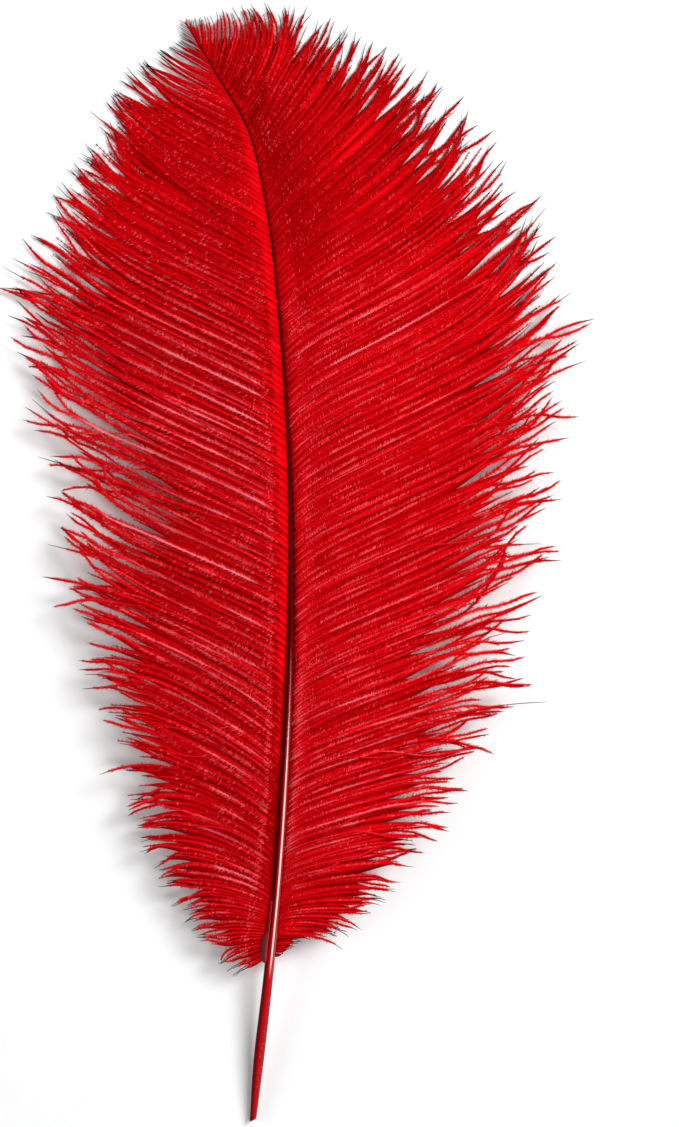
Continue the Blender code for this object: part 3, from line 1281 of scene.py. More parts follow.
    def by_bunch(self, bunches: Array, least: float, more: float) -> Array:
        """Draws a number for each bunch, from least to as much more, and gives it to its barbs."""
        return (least + more * self.chance.random(bunches[-1] + 1))[bunches][:, None]

    def swing(self, waves: float, along: Array, count: int) -> Array:
        """Gives that many sine waves along each of count strands, each from a place of its own."""
        return np.sin(2 * np.pi * (waves * along + self.chance.random((count, 1))))

    def grow(self) -> tuple[Strands, Strands]:
        """Grows the vane: barbs gathered in bunches and locks, wavering and uneven, over the underlayer.

        Returns:
            The barbs and the broad strands of the underlayer, from the quill to the tip.
        """
        rule = self.gathering
        roots = self.roots()
        count = len(roots)
        roots = roots + rule.root_stray * self.chance.uniform(-1, 1, count)
        reach = 1 + rule.own_reach * self.chance.uniform(-1, 1, count)
        own = self.lines(roots, reach, self.chance.normal(0, rule.own_rise, count))
        t = np.linspace(0, 1, self.line_points)
        bunches = self.runs(count, self.habit.bunch_sizes)
        locks = self.runs(count, self.habit.lock_sizes)
        bunch_line, place = self.middles(bunches, roots)
        lock_line, _ = self.middles(locks, roots)
        crest = self.crests(bunches, place)
        second = np.arange(count) % 2 == 0
        top = second | crest
        start, close, lock_start, lock_close, layer_reach, stray = (
            column[:, None] for column in read_rows(self.gather, roots).T
        )
        close = np.minimum(close * self.by_bunch(bunches, *rule.close), rule.most_closed)
        start = start * self.by_bunch(bunches, *rule.start)
        lock_pull = lock_close * ease(t, lock_start, rule.lock_end)
        to_lock = lock_pull[..., None] * (lock_line - bunch_line)
        closing = ease(t, start, rule.bunch_end)
        calm = self.calm(roots)[:, None]
        drawn = np.where(top, rule.drawn, 0.0)[:, None] * calm * ease(t, *rule.drawn_in)
        pull = drawn + (close - drawn) * closing
        lines = own + pull[..., None] * (bunch_line - own) + to_lock
        lines = self.waver(lines, t, bunches, stray)
        thick, thin = ease(t, *rule.thick_in), 1 - rule.thin_end * t
        body = thick * self.fullness(roots) * calm ** rule.calm_ridges
        round_top = 1 - (2 * place) ** 2
        ridge = self.habit.ridge_rise * round_top[:, None]
        rise = np.where(top[:, None], self.top_rise + ridge, -self.under_drop)
        lines[..., 2] += rise * body * thin
        lines = np.concatenate((lines, self.clear_lines(), self.loose_lines()))
        barbs = self.barb_strands(lines, bunches, crest, top)
        under = own + rule.layer_pull * (close * closing)[..., None] * (bunch_line - own) + to_lock
        under[..., 2] -= self.layer.drop * calm ** rule.calm_drop * thick * thin
        chosen = second & (layer_reach[:, 0] > rule.least_layer)
        return barbs, self.layer_strands(under[chosen], own[chosen], layer_reach[chosen])

    def clear_lines(self) -> Array:
        """Works out the lines of the barbs that stand clear of the outline.

        Returns:
            The points of each line.
        """
        places, reach, rise, curl, _ = np.array(self.strays).T
        t = np.linspace(0, 1, self.line_points)
        lines = self.lines(places, reach, rise)
        lines = self.bend(lines, np.radians(curl[:, None]) * ease(t[1:], *self.wave.end))
        lines[..., 2] += self.top_rise * ease(t, *self.gathering.thick_in)
        return lines

    def loose_lines(self) -> Array:
        """Works out the lines of the loose barbs, which swerve and lie across their neighbours.

        Returns:
            The points of each line.
        """
        rule, count = self.loose, self.loose.count
        t = np.linspace(0, 1, self.line_points)
        roots = np.sort(self.chance.uniform(*rule.roots, count))
        reach = self.chance.uniform(*rule.reach, count)
        lines = self.lines(roots, reach, self.chance.normal(0, rule.rise_spread, count))
        side = self.chance.choice((-1, 1), (count, 1))
        swerve = side * self.chance.uniform(*rule.swerve, (count, 1))
        start = self.chance.uniform(*rule.start, (count, 1))
        away = ease(t[1:], start, start + rule.done)
        back = ease(t[1:], start + rule.back[0], start + rule.back[1])
        lines = self.bend(lines, np.radians(swerve) * (away - back))
        lift = self.top_rise + self.habit.ridge_rise + rule.lift
        lines[..., 2] += lift * ease(t, *self.gathering.thick_in)
        return lines

    def barb_strands(self, lines: Array, bunches: Array, crest: Array, top: Array) -> Strands:
        """Gives barbs their lengths, widths and shades.

        Args:
            lines: the lines of the barbs, with the strays and then the loose barbs last.
            bunches: the bunch of each barb but theirs.
            crest: which of those are the crests of their bunches.
            top: which of those lie on top.

        Returns:
            The barbs.
        """
        form = self.form
        count, total = len(bunches), len(lines)
        places = lines[:, 0, 1]
        stray = read_rows(self.gather, places[:count])[:, 5]
        ends = np.ones(total)
        short_by = form.short_least + form.short_stray * stray
        ends[:count] = form.full - short_by * self.chance.random(count) ** form.short_power
        lines[..., 2] = self.above_floor(lines[..., 2])
        share = np.linspace(0, 1, self.strand_points) * ends[:, None]
        points = self.resample(self.lengthened(lines), share / self.longest)
        swing = self.chance.uniform(0, 2 * np.pi, (total, 1))
        calm = self.calm(places)
        twist = form.twist * np.sqrt(calm)[:, None]
        roll = twist * np.sin(2 * np.pi * form.turns * share + swing) - self.side.value * form.tilt
        frames = lay_frames(points, roll)
        travelled = frames[-1]
        crest = np.append(crest, np.zeros(total - count, dtype=bool))
        top = np.append(top, np.ones(total - count, dtype=bool))
        bare = self.bare_tips(places, travelled, top)
        inner = np.where(crest, form.crest, form.inner)
        inner = inner * (form.width_least + form.width_more * self.chance.random(total))
        width = self.half_widths(travelled, inner[:, None], bare[:, None])
        shade = self.barb_shades(places, share, travelled, bare, bunches, crest, top)
        stands_out = np.where(crest, 1.0, np.where(top, form.low_crest, 0.0)) * np.sqrt(calm)
        fringe = np.where(top, 1.0, form.low_fringe)
        fringe[-self.loose.count:] = self.loose.fringe
        return Strands(points, *frames, width, shade, stands_out, bare, fringe)

    def haired(self, places: Array) -> Array:
        """Gives how hairy the barbs' ends are at each root, from 0 to 1."""
        lower = self.form.lower_haired * (1 - ease(places, *self.form.lower_out))
        return np.maximum(ease(places, *self.form.haired_in), lower)

    def bare_tips(self, places: Array, travelled: Array, top: Array) -> Array:
        """Works out how much of each barb's end is bare.

        Args:
            places: the y of each root.
            travelled: the length from the root to each point.
            top: which barbs lie on top.

        Returns:
            The length of each bare end.
        """
        form, total = self.form, len(places)
        bare = form.hair_least + form.hair_chance * self.chance.random(total) ** form.hair_power
        more = form.hair_more * self.haired(places)
        more = more + self.habit.tip_hair * ease(places, *form.tip_in)
        bare += more * self.chance.uniform(*form.hair_spread, total)
        bare *= np.where(top, 1.0, form.low_hair)
        bare = np.where(places > self.naked_from, form.naked_share * travelled[:, -1], bare)
        first = total - self.loose.count - len(self.strays)
        bare[first:first + len(self.strays)] = np.array(self.strays)[:, 4]
        return bare

    def half_widths(self, travelled: Array, inner: Array, bare: Array) -> Array:
        """Works out half the barbs' widths: slim in the vane, stouter in the loose end, a hair at the tip.

        Args:
            travelled: the length from the root to each point.
            inner: half of each barb's width in the vane.
            bare: the length of each bare end.

        Returns:
            Half the width at each point.
        """
        form = self.form
        left = travelled[:, -1:] - travelled
        body = form.outer + (inner - form.outer) * ease(left, *form.outer_over)
        body = np.maximum(body, form.root * (1 - ease(travelled, *form.root_out)))
        hair = form.hair + (body - form.hair) * ease(left / bare, *form.hair_over)
        thin = np.interp(travelled[:, -1:], form.short_barb, (form.short_width, 1.0))
        return hair * np.interp(left, (0, form.point), (form.point_width, 1.0)) * thin

    def barb_shades(
        self,
        places: Array,
        share: Array,
        travelled: Array,
        bare: Array,
        bunches: Array,
        crest: Array,
        top: Array,
    ) -> Array:
        """Works out the barbs' shades: pale crests, a comb beside the shaft, black hairs.

        Args:
            places: the y of each root.
            share: the share of the vane's reach at each point.
            travelled: the length from the root to each point.
            bare: the length of each bare end.
            bunches: the bunch of each barb but the strays and the loose ones.
            crest: which barbs are the crests of their bunches.
            top: which barbs lie on top.

        Returns:
            The shade at each point.
        """
        rule, habit, total = self.shades, self.habit, len(places)
        calm = self.calm(places)
        # Lower barbs darker: painted shade beneath the top ones
        shade = habit.shade + np.where(top, *rule.levels)
        shade = shade + self.chance.normal(0, rule.spread, total)
        shade[:len(bunches)] += self.chance.normal(0, rule.bunch_spread, bunches[-1] + 1)[bunches]
        shade = habit.shade + (shade - habit.shade) * calm
        shade -= habit.upper_dark * ease(places, *self.even_in)
        loose = slice(total - self.loose.count, total)
        shade[loose] += (self.loose.shade - habit.shade) * calm[loose]
        begin = rule.ridge_least + rule.ridge_more * self.chance.random((total, 1)) ** 2
        fade = self.chance.uniform(*rule.ridge_fade, (total, 1))
        lost = rule.ridge_lost * ease(share, fade, fade + rule.ridge_out)
        ridge = ease(travelled, begin, begin + rule.ridge_in) * (1 - lost)
        ridge *= self.chance.uniform(*rule.ridge_strength, (total, 1))
        combed = ease(places, *rule.comb_low) * (1 - ease(places, *rule.comb_high))
        comb = (1 - ease(travelled, *rule.comb_out)) * combed[:, None]
        # Painted highlights along the crests
        shade = shade[:, None] + habit.painted_crest_highlight * (crest * calm)[:, None] * ridge
        flicker = rule.flicker * self.chance.normal(0, 1, share.shape) * (top * calm)[:, None]
        shade = shade + flicker * ease(travelled, *rule.flicker_in)
        # The comb: pale painted highlights on the right's lines, painted shade on the lower barbs
        comb_shade = habit.comb_shade + np.where(top, *rule.comb_levels)[:, None]
        shade = shade + rule.comb_share * comb * (comb_shade - shade)
        hair = travelled[:, -1:] - travelled < rule.black_part * bare[:, None]
        shade = shade * (1 - rule.blackness * self.haired(places)[:, None] * hair)
        return np.clip(shade, *STRAND_SHADES)

    def layer_strands(self, lines: Array, own: Array, reach: Array) -> Strands:
        """Gives the underlayer's strands their widths, so broad that each overlaps the next.

        Args:
            lines: their lines, at the full reach of the barbs.
            own: the same lines before they were gathered.
            reach: their reach beside the barbs'.

        Returns:
            The strands.
        """
        rule, total = self.layer, len(lines)
        lines[..., 2] = self.above_floor(lines[..., 2])
        part = np.linspace(0, 1, self.strand_points)
        share = part * reach * (1 - rule.uneven * self.chance.random((total, 1)))
        points = self.resample(lines, share)
        room = self.resample(self.spread(own), share)[..., 0]
        roll = rule.twist * self.swing(rule.turns, share, total) + self.side.value * rule.tilt
        frames = lay_frames(points, roll)
        travelled = frames[-1]
        taper = 1 - ease(part, *rule.taper) ** rule.taper_power
        most = rule.slim_share * travelled[:, -1:] + rule.slim_width
        broad = np.clip(rule.overlap * room, rule.least_width, most)
        width = np.maximum(broad * taper, rule.point)
        # The underlayer a little darker: painted shade beneath the barbs
        shade = self.habit.shade - rule.darker + self.chance.normal(0, rule.spread, (total, 1))
        shade = shade - rule.end_dark * ease(part, *rule.end_in)
        # Painted shade in the gaps between the comb's barbs
        shade = shade - self.habit.comb_painted_shade * (1 - ease(travelled, *self.shades.comb_out))
        shade = np.clip(shade, *STRAND_SHADES)
        none = np.zeros(total)
        return Strands(points, *frames, width, shade, none, none + rule.bare_tip, none + 1)

    @staticmethod
    def spread(lines: Array) -> Array:
        """Measures the room between lines.

        Args:
            lines: lines side by side.

        Returns:
            The room to the farther neighbour, square to the line, at each point.
        """
        way = unit(np.gradient(lines[..., :2], axis=1))[:-1]
        gap = np.diff(lines[..., :2], axis=0)
        room = np.abs(gap[..., 0] * way[..., 1] - gap[..., 1] * way[..., 0])
        before, after = np.concatenate((room[:1], room)), np.concatenate((room, room[-1:]))
        return np.maximum(before, after)[..., None]

    def waver(self, lines: Array, t: Array, bunches: Array, stray: Array) -> Array:
        """Bends barbs a little, together in their bunches and each by itself, and strays their ends.

        Args:
            lines: the barbs' lines.
            t: the share of its length at each point of a line.
            bunches: each barb's bunch.
            stray: how many degrees each barb's end strays.

        Returns:
            The bent lines.
        """
        rule, count, groups = self.wave, len(lines), bunches[-1] + 1
        middle = t[1:]
        wave = self.swing(rule.bunch_waves, middle, groups)[bunches]
        own_wave = self.swing(rule.own_waves, middle, count)
        shared = self.chance.normal(0, 1, (groups, 1))[bunches]
        end = stray * (shared + self.chance.normal(0, rule.own_stray, (count, 1)))
        curls = self.swing(rule.curls, middle, count)
        turn = rule.bunch_turn * wave * middle + rule.own_turn * own_wave * middle
        turn = turn + end * ease(middle, *rule.end)
        turn = turn + rule.curl_turn * stray * curls * ease(middle, *rule.curl_in)
        return self.bend(lines, np.radians(turn))

    @staticmethod
    def bend(lines: Array, turn: Array) -> Array:
        """Turns each step of lines in plan.

        Args:
            lines: the lines.
            turn: the angle for each step.

        Returns:
            The bent lines.
        """
        steps = np.diff(lines, axis=1)
        x = steps[..., 0] * np.cos(turn) - steps[..., 1] * np.sin(turn)
        y = steps[..., 0] * np.sin(turn) + steps[..., 1] * np.cos(turn)
        turned = np.stack((x, y, steps[..., 2]), axis=2)
        return np.concatenate((lines[:, :1], lines[:, :1] + np.cumsum(turned, axis=1)), axis=1)

    def above_floor(self, height: Array) -> Array:
        """Keeps heights above the surface that the feather rests on, with no sharp bend."""
        over, rounding = height - self.floor_room, self.floor_round * self.floor_room
        return self.floor_room + 0.5 * (over + np.sqrt(over ** 2 + rounding ** 2))

    def lengthened(self, lines: Array) -> Array:
        """Carries lines straight on past their ends and spaces their points anew.

        Args:
            lines: the lines.

        Returns:
            The lines, as long as the longest barb.
        """
        part = np.linspace(0, self.longest, self.line_points)
        place = np.minimum(part, 1) * (self.line_points - 1)
        low = np.minimum(place.astype(int), self.line_points - 2)
        inner = (place - low)[:, None]
        last = (lines[:, -1:] - lines[:, -2:-1]) * (self.line_points - 1)
        beyond = np.maximum(part - 1, 0)[:, None]
        return lines[:, low] * (1 - inner) + lines[:, low + 1] * inner + last * beyond

    def resample(self, lines: Array, share: Array) -> Array:
        """Reads lines between their points.

        Args:
            lines: the lines.
            share: the shares of each line to read it at.

        Returns:
            What each line says there.
        """
        place = np.clip(share, 0, 1) * (self.line_points - 1)
        low = np.minimum(place.astype(int), self.line_points - 2)
        part = (place - low)[..., None]
        row = np.arange(len(lines))[:, None]
        return lines[row, low] * (1 - part) + lines[row, low + 1] * part

    def barbs(self, strands: Strands, name: str, flatness: float) -> bpy.types.Object:
        """Makes strands: closed forms of a flat diamond section, darker in their loose ends.

        Args:
            strands: their lines.
            name: the piece's name.
            flatness: half their thickness beside half their width.

        Returns:
            The piece.
        """
        rule = self.shades
        count, rings = strands.width.shape
        half = strands.width[..., None]
        thick = flatness * half + self.form.keel
        across, over = strands.sideways * half, strands.upward * thick
        ring = np.stack((across, over, -across, -over), axis=2)
        points = strands.points[:, :, None, :] + ring
        along = np.repeat(strands.along()[..., None], 4, axis=2) * (1 - 2 * MAP_EDGE) + MAP_EDGE
        left = strands.travelled[:, -1:] - strands.travelled
        dark = rule.broad_dark * (1 - ease(left, *self.form.outer_over))
        dark = dark + rule.end_dark * (1 - ease(left, *rule.end_over))
        own = np.maximum(strands.shade - dark, STRAND_SHADES[0])
        shade = own[..., None] + rule.edge * np.array((1, 0, -1, 0))
        places = np.stack((np.broadcast_to(shade, along.shape), along), axis=3)
        first = np.arange(count)[:, None, None] * rings * 4
        step = np.arange(rings - 1)[None, :, None] * 4
        corner = np.arange(4)[None, None, :]
        after = (corner + 1) % 4
        low = first + step
        quads = np.stack((low + corner, low + after, low + 4 + after, low + 4 + corner), axis=3)
        root = first[:, 0] + np.array((3, 2, 1, 0))
        tip = first[:, 0] + (rings - 1) * 4 + np.array((0, 1, 2, 3))
        faces = (quads.reshape(-1, 4), root, tip)
        return new_piece(name, points.reshape(-1, 3), faces, places.reshape(-1, 2))

    def barbule_rows(self, strands: Strands, spacing: float) -> Array:
        """Reads the strands where barbules grow on them.

        Args:
            strands: the strands' lines.
            spacing: the room between two pairs on a strand with a full fringe.

        Returns:
            One row for each pair: centre, forward, sideways and upward, half width, place on the map, shade,
            crest, length travelled and about how much is left of the fringed part.
        """
        form, rows = self.barbule, []
        along = strands.along()
        for index, travelled in enumerate(strands.travelled):
            length = travelled[-1]
            gap = spacing / strands.fringe[index]
            tip = float(ease(strands.points[index, 0, 1], *form.bare_in))
            bare = self.habit.bare_root + self.habit.tip_bare * tip
            stops = np.arange(bare, length - strands.bare_tip[index], gap)
            if len(stops) == 0:
                continue
            stops = stops + gap * self.chance.uniform(-form.gap_stray, form.gap_stray, len(stops))
            frames = (strands.points, strands.forward, strands.sideways, strands.upward)
            data = np.concatenate(
                [part[index] for part in frames]
                + [part[index][:, None] for part in (strands.width, along, strands.shade)],
                axis=1,
            )
            read = np.stack([np.interp(stops, travelled, column) for column in data.T], axis=1)
            waves = stops / self.chance.uniform(*form.patches) + self.chance.random()
            patches = form.patch_middle + form.patch_middle * np.sin(2 * np.pi * waves)
            patches = np.clip(patches, *form.patch_limits)
            left = length - stops - strands.bare_tip[index] + form.end_room
            rest = np.stack((strands.crest[index] * patches, stops, left), axis=1)
            rows.append(np.concatenate((read, rest), axis=1))
        return np.concatenate(rows)

    def barbules(self, table: Array, name: str, lift: Span) -> bpy.types.Object:
        """Makes the barbules: pairs of slim spikes that lean forward on both sides of their strand.

        Each pair is one closed form, a ring of three points on the strand and a point at each side.

        Args:
            table: the rows of barbule_rows.
            name: the piece's name.
            lift: the least and greatest angle that those on the tip's side are raised by.

        Returns:
            The piece.
        """
        form, habit, count = self.barbule, self.habit, len(table)
        centre, forward, sideways, upward = table[:, 0:3], table[:, 3:6], table[:, 6:9], table[:, 9:12]
        half, place, shade, crest, travelled, left = table[:, 12:].T
        reach = form.reach * np.interp(travelled - habit.bare_root, form.root_past, form.root_reach)
        reach *= np.interp(left, form.end_over, form.end_reach)
        reach *= 1 - habit.tip_slim * ease(centre[:, 1], *form.slim_in)
        lean = np.radians(np.interp(left, form.lean_over, form.lean))
        near = ease(travelled, *form.pale_in) * np.interp(left, form.pale_over, form.pale_share)
        stroke_end = form.pale_out * habit.stroke_reach
        near *= 1 - form.pale_lost * ease(travelled, habit.stroke_reach, stroke_end)
        # Pale barbules: a few anywhere, the speckle column, and painted highlight strokes on the crests
        bright = form.pale_least + habit.strokes * crest ** 2 * near
        speckled = habit.speckles * (1 - form.speckle_lost * ease(centre[:, 1], *form.speckle_out))
        bright += speckled * np.exp(-(((travelled - form.speckle_place) / form.speckle_width) ** 2))
        pale = self.chance.random(count) < bright
        stout = np.where(pale, form.pale_stout, 1.0)
        body = (form.width * stout * np.interp(left, form.stout_over, form.stout))[:, None]
        foot = centre - upward * form.foot_drop * body
        points = np.empty((count, 5, 3))
        points[:, 0] = foot - forward * body
        back = (form.back_over * half + form.back_rise)[:, None]
        points[:, 1] = centre + upward * back * stout[:, None]
        points[:, 2] = foot + forward * body
        plain = shade - form.plainness * np.maximum(shade - habit.shade, 0)
        middle = np.where(pale, np.maximum(shade, habit.stroke_shades[0]), shade)
        tints = [middle + more for more in form.collar_shades]
        for corner, way in ((3, 1), (4, -1)):
            tipward = way == self.side.value
            length = reach * self.chance.uniform(*form.reach_spread, count)
            length = (length * np.where(pale, habit.stroke_length, 1.0))[:, None]
            leaning = np.where(pale, habit.stroke_lean, lean)
            leaning = (leaning + self.chance.normal(0, form.lean_spread, count))[:, None]
            low, high = lift if tipward else (lift[0] - form.lower_low, lift[1] - form.lower_high)
            stroked = pale & (tipward != habit.strokes_below)
            raised = self.chance.uniform(low, high, count)
            raised = np.where(stroked, np.abs(raised) + form.stroke_lift, raised)[:, None]
            flat = forward * np.sin(leaning) + way * sideways * np.cos(leaning)
            points[:, corner] = centre + length * (flat * np.cos(raised) + upward * np.sin(raised))
            # Barbules on the quill's side darker: painted shade beneath the barb
            own = plain + self.chance.normal(0.0 if tipward else -form.lower_painted_shade, form.spread, count)
            # Strokes get the pale shades of painted highlights
            stroke = self.chance.uniform(*habit.stroke_shades, count)
            tints.append(np.where(stroked, stroke, own + form.pale_more * pale))
        points[:, :, 2] = np.maximum(points[:, :, 2], form.floor)
        tint = np.clip(np.stack(tints, axis=1), *BARBULE_SHADES)
        ahead = form.ahead * np.array((0, 1, 0, 3, 3))
        spot = np.stack((tint, np.clip(place, *BARBULE_PLACES)[:, None] + ahead), axis=2)
        ring = ((0, 1, 3), (1, 2, 3), (2, 0, 3), (1, 0, 4), (2, 1, 4), (0, 2, 4))
        faces = np.arange(count)[:, None, None] * 5 + np.array(ring)
        return new_piece(name, points.reshape(-1, 3), (faces.reshape(-1, 3),), spot.reshape(-1, 2))

    def build(self, finish: bpy.types.Material) -> None:
        """Builds and dresses the vane: its barbs, and its barbules in bands from the quill to the tip.

        Args:
            finish: the barbs' finish.
        """
        strands, layer = self.grow()
        dress(self.barbs(strands, f"{self.word}_barbs", self.form.flatness), finish)
        dress(self.barbs(layer, f"{self.word}_underlayer", self.layer.flatness), finish)
        hanging = self.barbule_rows(layer, self.layer.gap)
        dress(self.barbules(hanging, f"{self.word}_under_barbules", self.layer.lift), finish)
        length = strands.travelled[:, -1] * strands.fringe
        done = np.cumsum(length) / np.sum(length)
        for band in range(self.bands):
            chosen = (done > band / self.bands) & (done <= (band + 1) / self.bands)
            rows = self.barbule_rows(strands.some(chosen), self.barbule.gap)
            dress(self.barbules(rows, f"{self.word}_barbules_{band + 1}", self.barbule.lift), finish)


def deselect() -> None:
    """Leaves nothing selected in object mode."""
    bpy.ops.object.select_all(action="DESELECT")


def only(piece: bpy.types.Object) -> None:
    """Makes a piece the only selected object and the active one.

    Args:
        piece: the piece.
    """
    deselect()
    piece.select_set(True)
    bpy.context.view_layer.objects.active = piece


@dataclass
class Shaft:
    """The round shaft: the bare quill with its slanted cut, the groove under the rachis, the fine tip.

    Attributes:
        sides, rings: the points round it and the rings along it.
        cut_turn, cut_slant: how far the cut end faces right, and down.
        bore_rim, bore_depth: the hollow's wall and depth.
        groove, groove_width: how far the groove leaves the shaft below its middle, and half its width, both
            beside the shaft's radius.
        curve_points: the points of the line that it is bent along.
        smooth_angle: the degrees under which edges look rounded.
        map_width, map_edge: the map's width in the shaft's radii, and the room left at its ends.
    """

    sides: int = 24
    rings: int = 54
    cut_turn: float = 0.15
    cut_slant: float = 0.55
    bore_rim: float = 0.00030
    bore_depth: float = 0.0040
    groove: float = 0.35
    groove_width: float = 0.42
    curve_points: int = 160
    smooth_angle: float = 40
    map_width: float = 2.1
    map_edge: float = 0.005

    def stations(self) -> tuple[Array, Array, Array]:
        """Reads the shaft's line.

        Returns:
            Points along it, the length travelled to each and the radius there.
        """
        y = np.linspace(SHAFT_LINE[0][0], SHAFT_LINE[-1][0], self.curve_points)
        points = shaft_middle(y)
        steps = np.linalg.norm(np.diff(points, axis=0), axis=1)
        return points, np.concatenate(((0,), np.cumsum(steps))), read_rows(SHAFT_LINE, y)[:, 2]

    def guide(self, points: Array) -> bpy.types.Object:
        """Makes the curve that the straight shaft is bent along.

        Args:
            points: its points.

        Returns:
            The curve.
        """
        curve = bpy.data.curves.new("shaft guide", "CURVE")
        curve.dimensions = "3D"
        curve.twist_mode = "Z_UP"
        spline = curve.splines.new("POLY")
        spline.points.add(len(points) - 1)
        for target, point in zip(spline.points, points):
            target.co = (*point, 1)
        made = bpy.data.objects.new("shaft guide", curve)
        bpy.context.scene.collection.objects.link(made)
        return made

    def straight(self, travelled: Array, radii: Array) -> bpy.types.Object:
        """Models the shaft straight along Y: a disc extruded ring by ring, each scaled to its radius.

        Args:
            travelled: lengths along the shaft.
            radii: the radius at each.

        Returns:
            The straight shaft.
        """
        stops = np.linspace(0, travelled[-1], self.rings)
        sizes = np.interp(stops, travelled, radii)
        deselect()
        bpy.ops.mesh.primitive_circle_add(
            vertices=self.sides, radius=sizes[0], fill_type="NGON", rotation=(math.pi / 2, 0, 0)
        )
        shaft = bpy.context.object
        shaft.name = "shaft"
        bpy.ops.object.transform_apply(location=True, rotation=True, scale=True)
        bpy.ops.object.mode_set(mode="EDIT")
        for before, stop, old, new in zip(stops, stops[1:], sizes, sizes[1:]):
            bpy.ops.mesh.extrude_region_move(TRANSFORM_OT_translate={"value": (0, stop - before, 0)})
            bpy.ops.transform.resize(value=(new / old, 1, new / old), center_override=(0, stop, 0))
        bpy.ops.mesh.select_all(action="SELECT")
        bpy.ops.mesh.normals_make_consistent(inside=False)
        self.cut_quill(sizes[0])
        self.sink_groove(shaft)
        bpy.ops.object.mode_set(mode="OBJECT")
        return shaft

    def cut_quill(self, radius: float) -> None:
        """Cuts the quill's end on a slant and sinks its hollow.

        Args:
            radius: the quill's radius there.
        """
        slant = Vector((self.cut_turn, -1, -self.cut_slant)).normalized()
        bpy.ops.mesh.select_all(action="SELECT")
        bpy.ops.mesh.bisect(
            plane_co=(0, radius * self.cut_slant, 0), plane_no=slant, use_fill=True, clear_outer=True
        )
        bpy.ops.mesh.inset(thickness=self.bore_rim)
        bpy.ops.mesh.extrude_region_move(TRANSFORM_OT_translate={"value": (0, self.bore_depth, 0)})

    def sink_groove(self, shaft: bpy.types.Object) -> None:
        """Sinks the groove under the rachis, by flattening its lowest points towards its middle.

        Args:
            shaft: the straight shaft, in edit mode.
        """
        edited = bmesh.from_edit_mesh(shaft.data)
        points, travelled, radii = self.stations()
        start = travelled[np.searchsorted(points[:, 1], RIGHT_VANE[0][0])]
        for vertex in edited.verts:
            x, y, z = vertex.co
            radius = float(np.interp(y, travelled, radii))
            vertex.select = bool(y > start and z < 0 and abs(x) < self.groove_width * radius)
        edited.select_flush_mode()
        bmesh.update_edit_mesh(shaft.data)
        bpy.ops.transform.resize(value=(1, 1, self.groove), center_override=(0, 0, 0))

    def lay_map(self, shaft: bpy.types.Object) -> None:
        """Lays the shaft's map: round it from left over the top to the right and back, and along it.

        Args:
            shaft: the bent shaft.
        """
        mesh = shaft.data
        while mesh.uv_layers:
            mesh.uv_layers.remove(mesh.uv_layers[0])
        layer = mesh.uv_layers.new(name=MAP)
        low, high = SHAFT_LINE[0][0], SHAFT_LINE[-1][0]
        for face in mesh.polygons:
            below = face.normal.z < 0
            for corner in face.loop_indices:
                x, y, _ = mesh.vertices[mesh.loops[corner].vertex_index].co
                middle, _, radius = read_rows(SHAFT_LINE, np.array([y]))[0]
                across = min(max(0.5 + (x - middle) / (self.map_width * radius), 0), 1)
                around = 1 - across / 2 if below else across / 2
                along = (1 - 2 * self.map_edge) * (y - low) / (high - low)
                layer.uv[corner].vector = (around, self.map_edge + along)

    def build(self, finish: bpy.types.Material) -> None:
        """Builds and dresses the shaft.

        Args:
            finish: its finish.
        """
        points, travelled, radii = self.stations()
        shaft = self.straight(travelled, radii)
        guide = self.guide(points)
        only(shaft)
        bend = shaft.modifiers.new("bend", "CURVE")
        bend.object = guide
        bend.deform_axis = "POS_Y"
        bpy.ops.object.modifier_apply(modifier=bend.name)
        line = guide.data
        bpy.data.objects.remove(guide)
        bpy.data.curves.remove(line)
        bpy.ops.object.shade_smooth_by_angle(angle=math.radians(self.smooth_angle))
        self.lay_map(shaft)
        dress(shaft, finish)


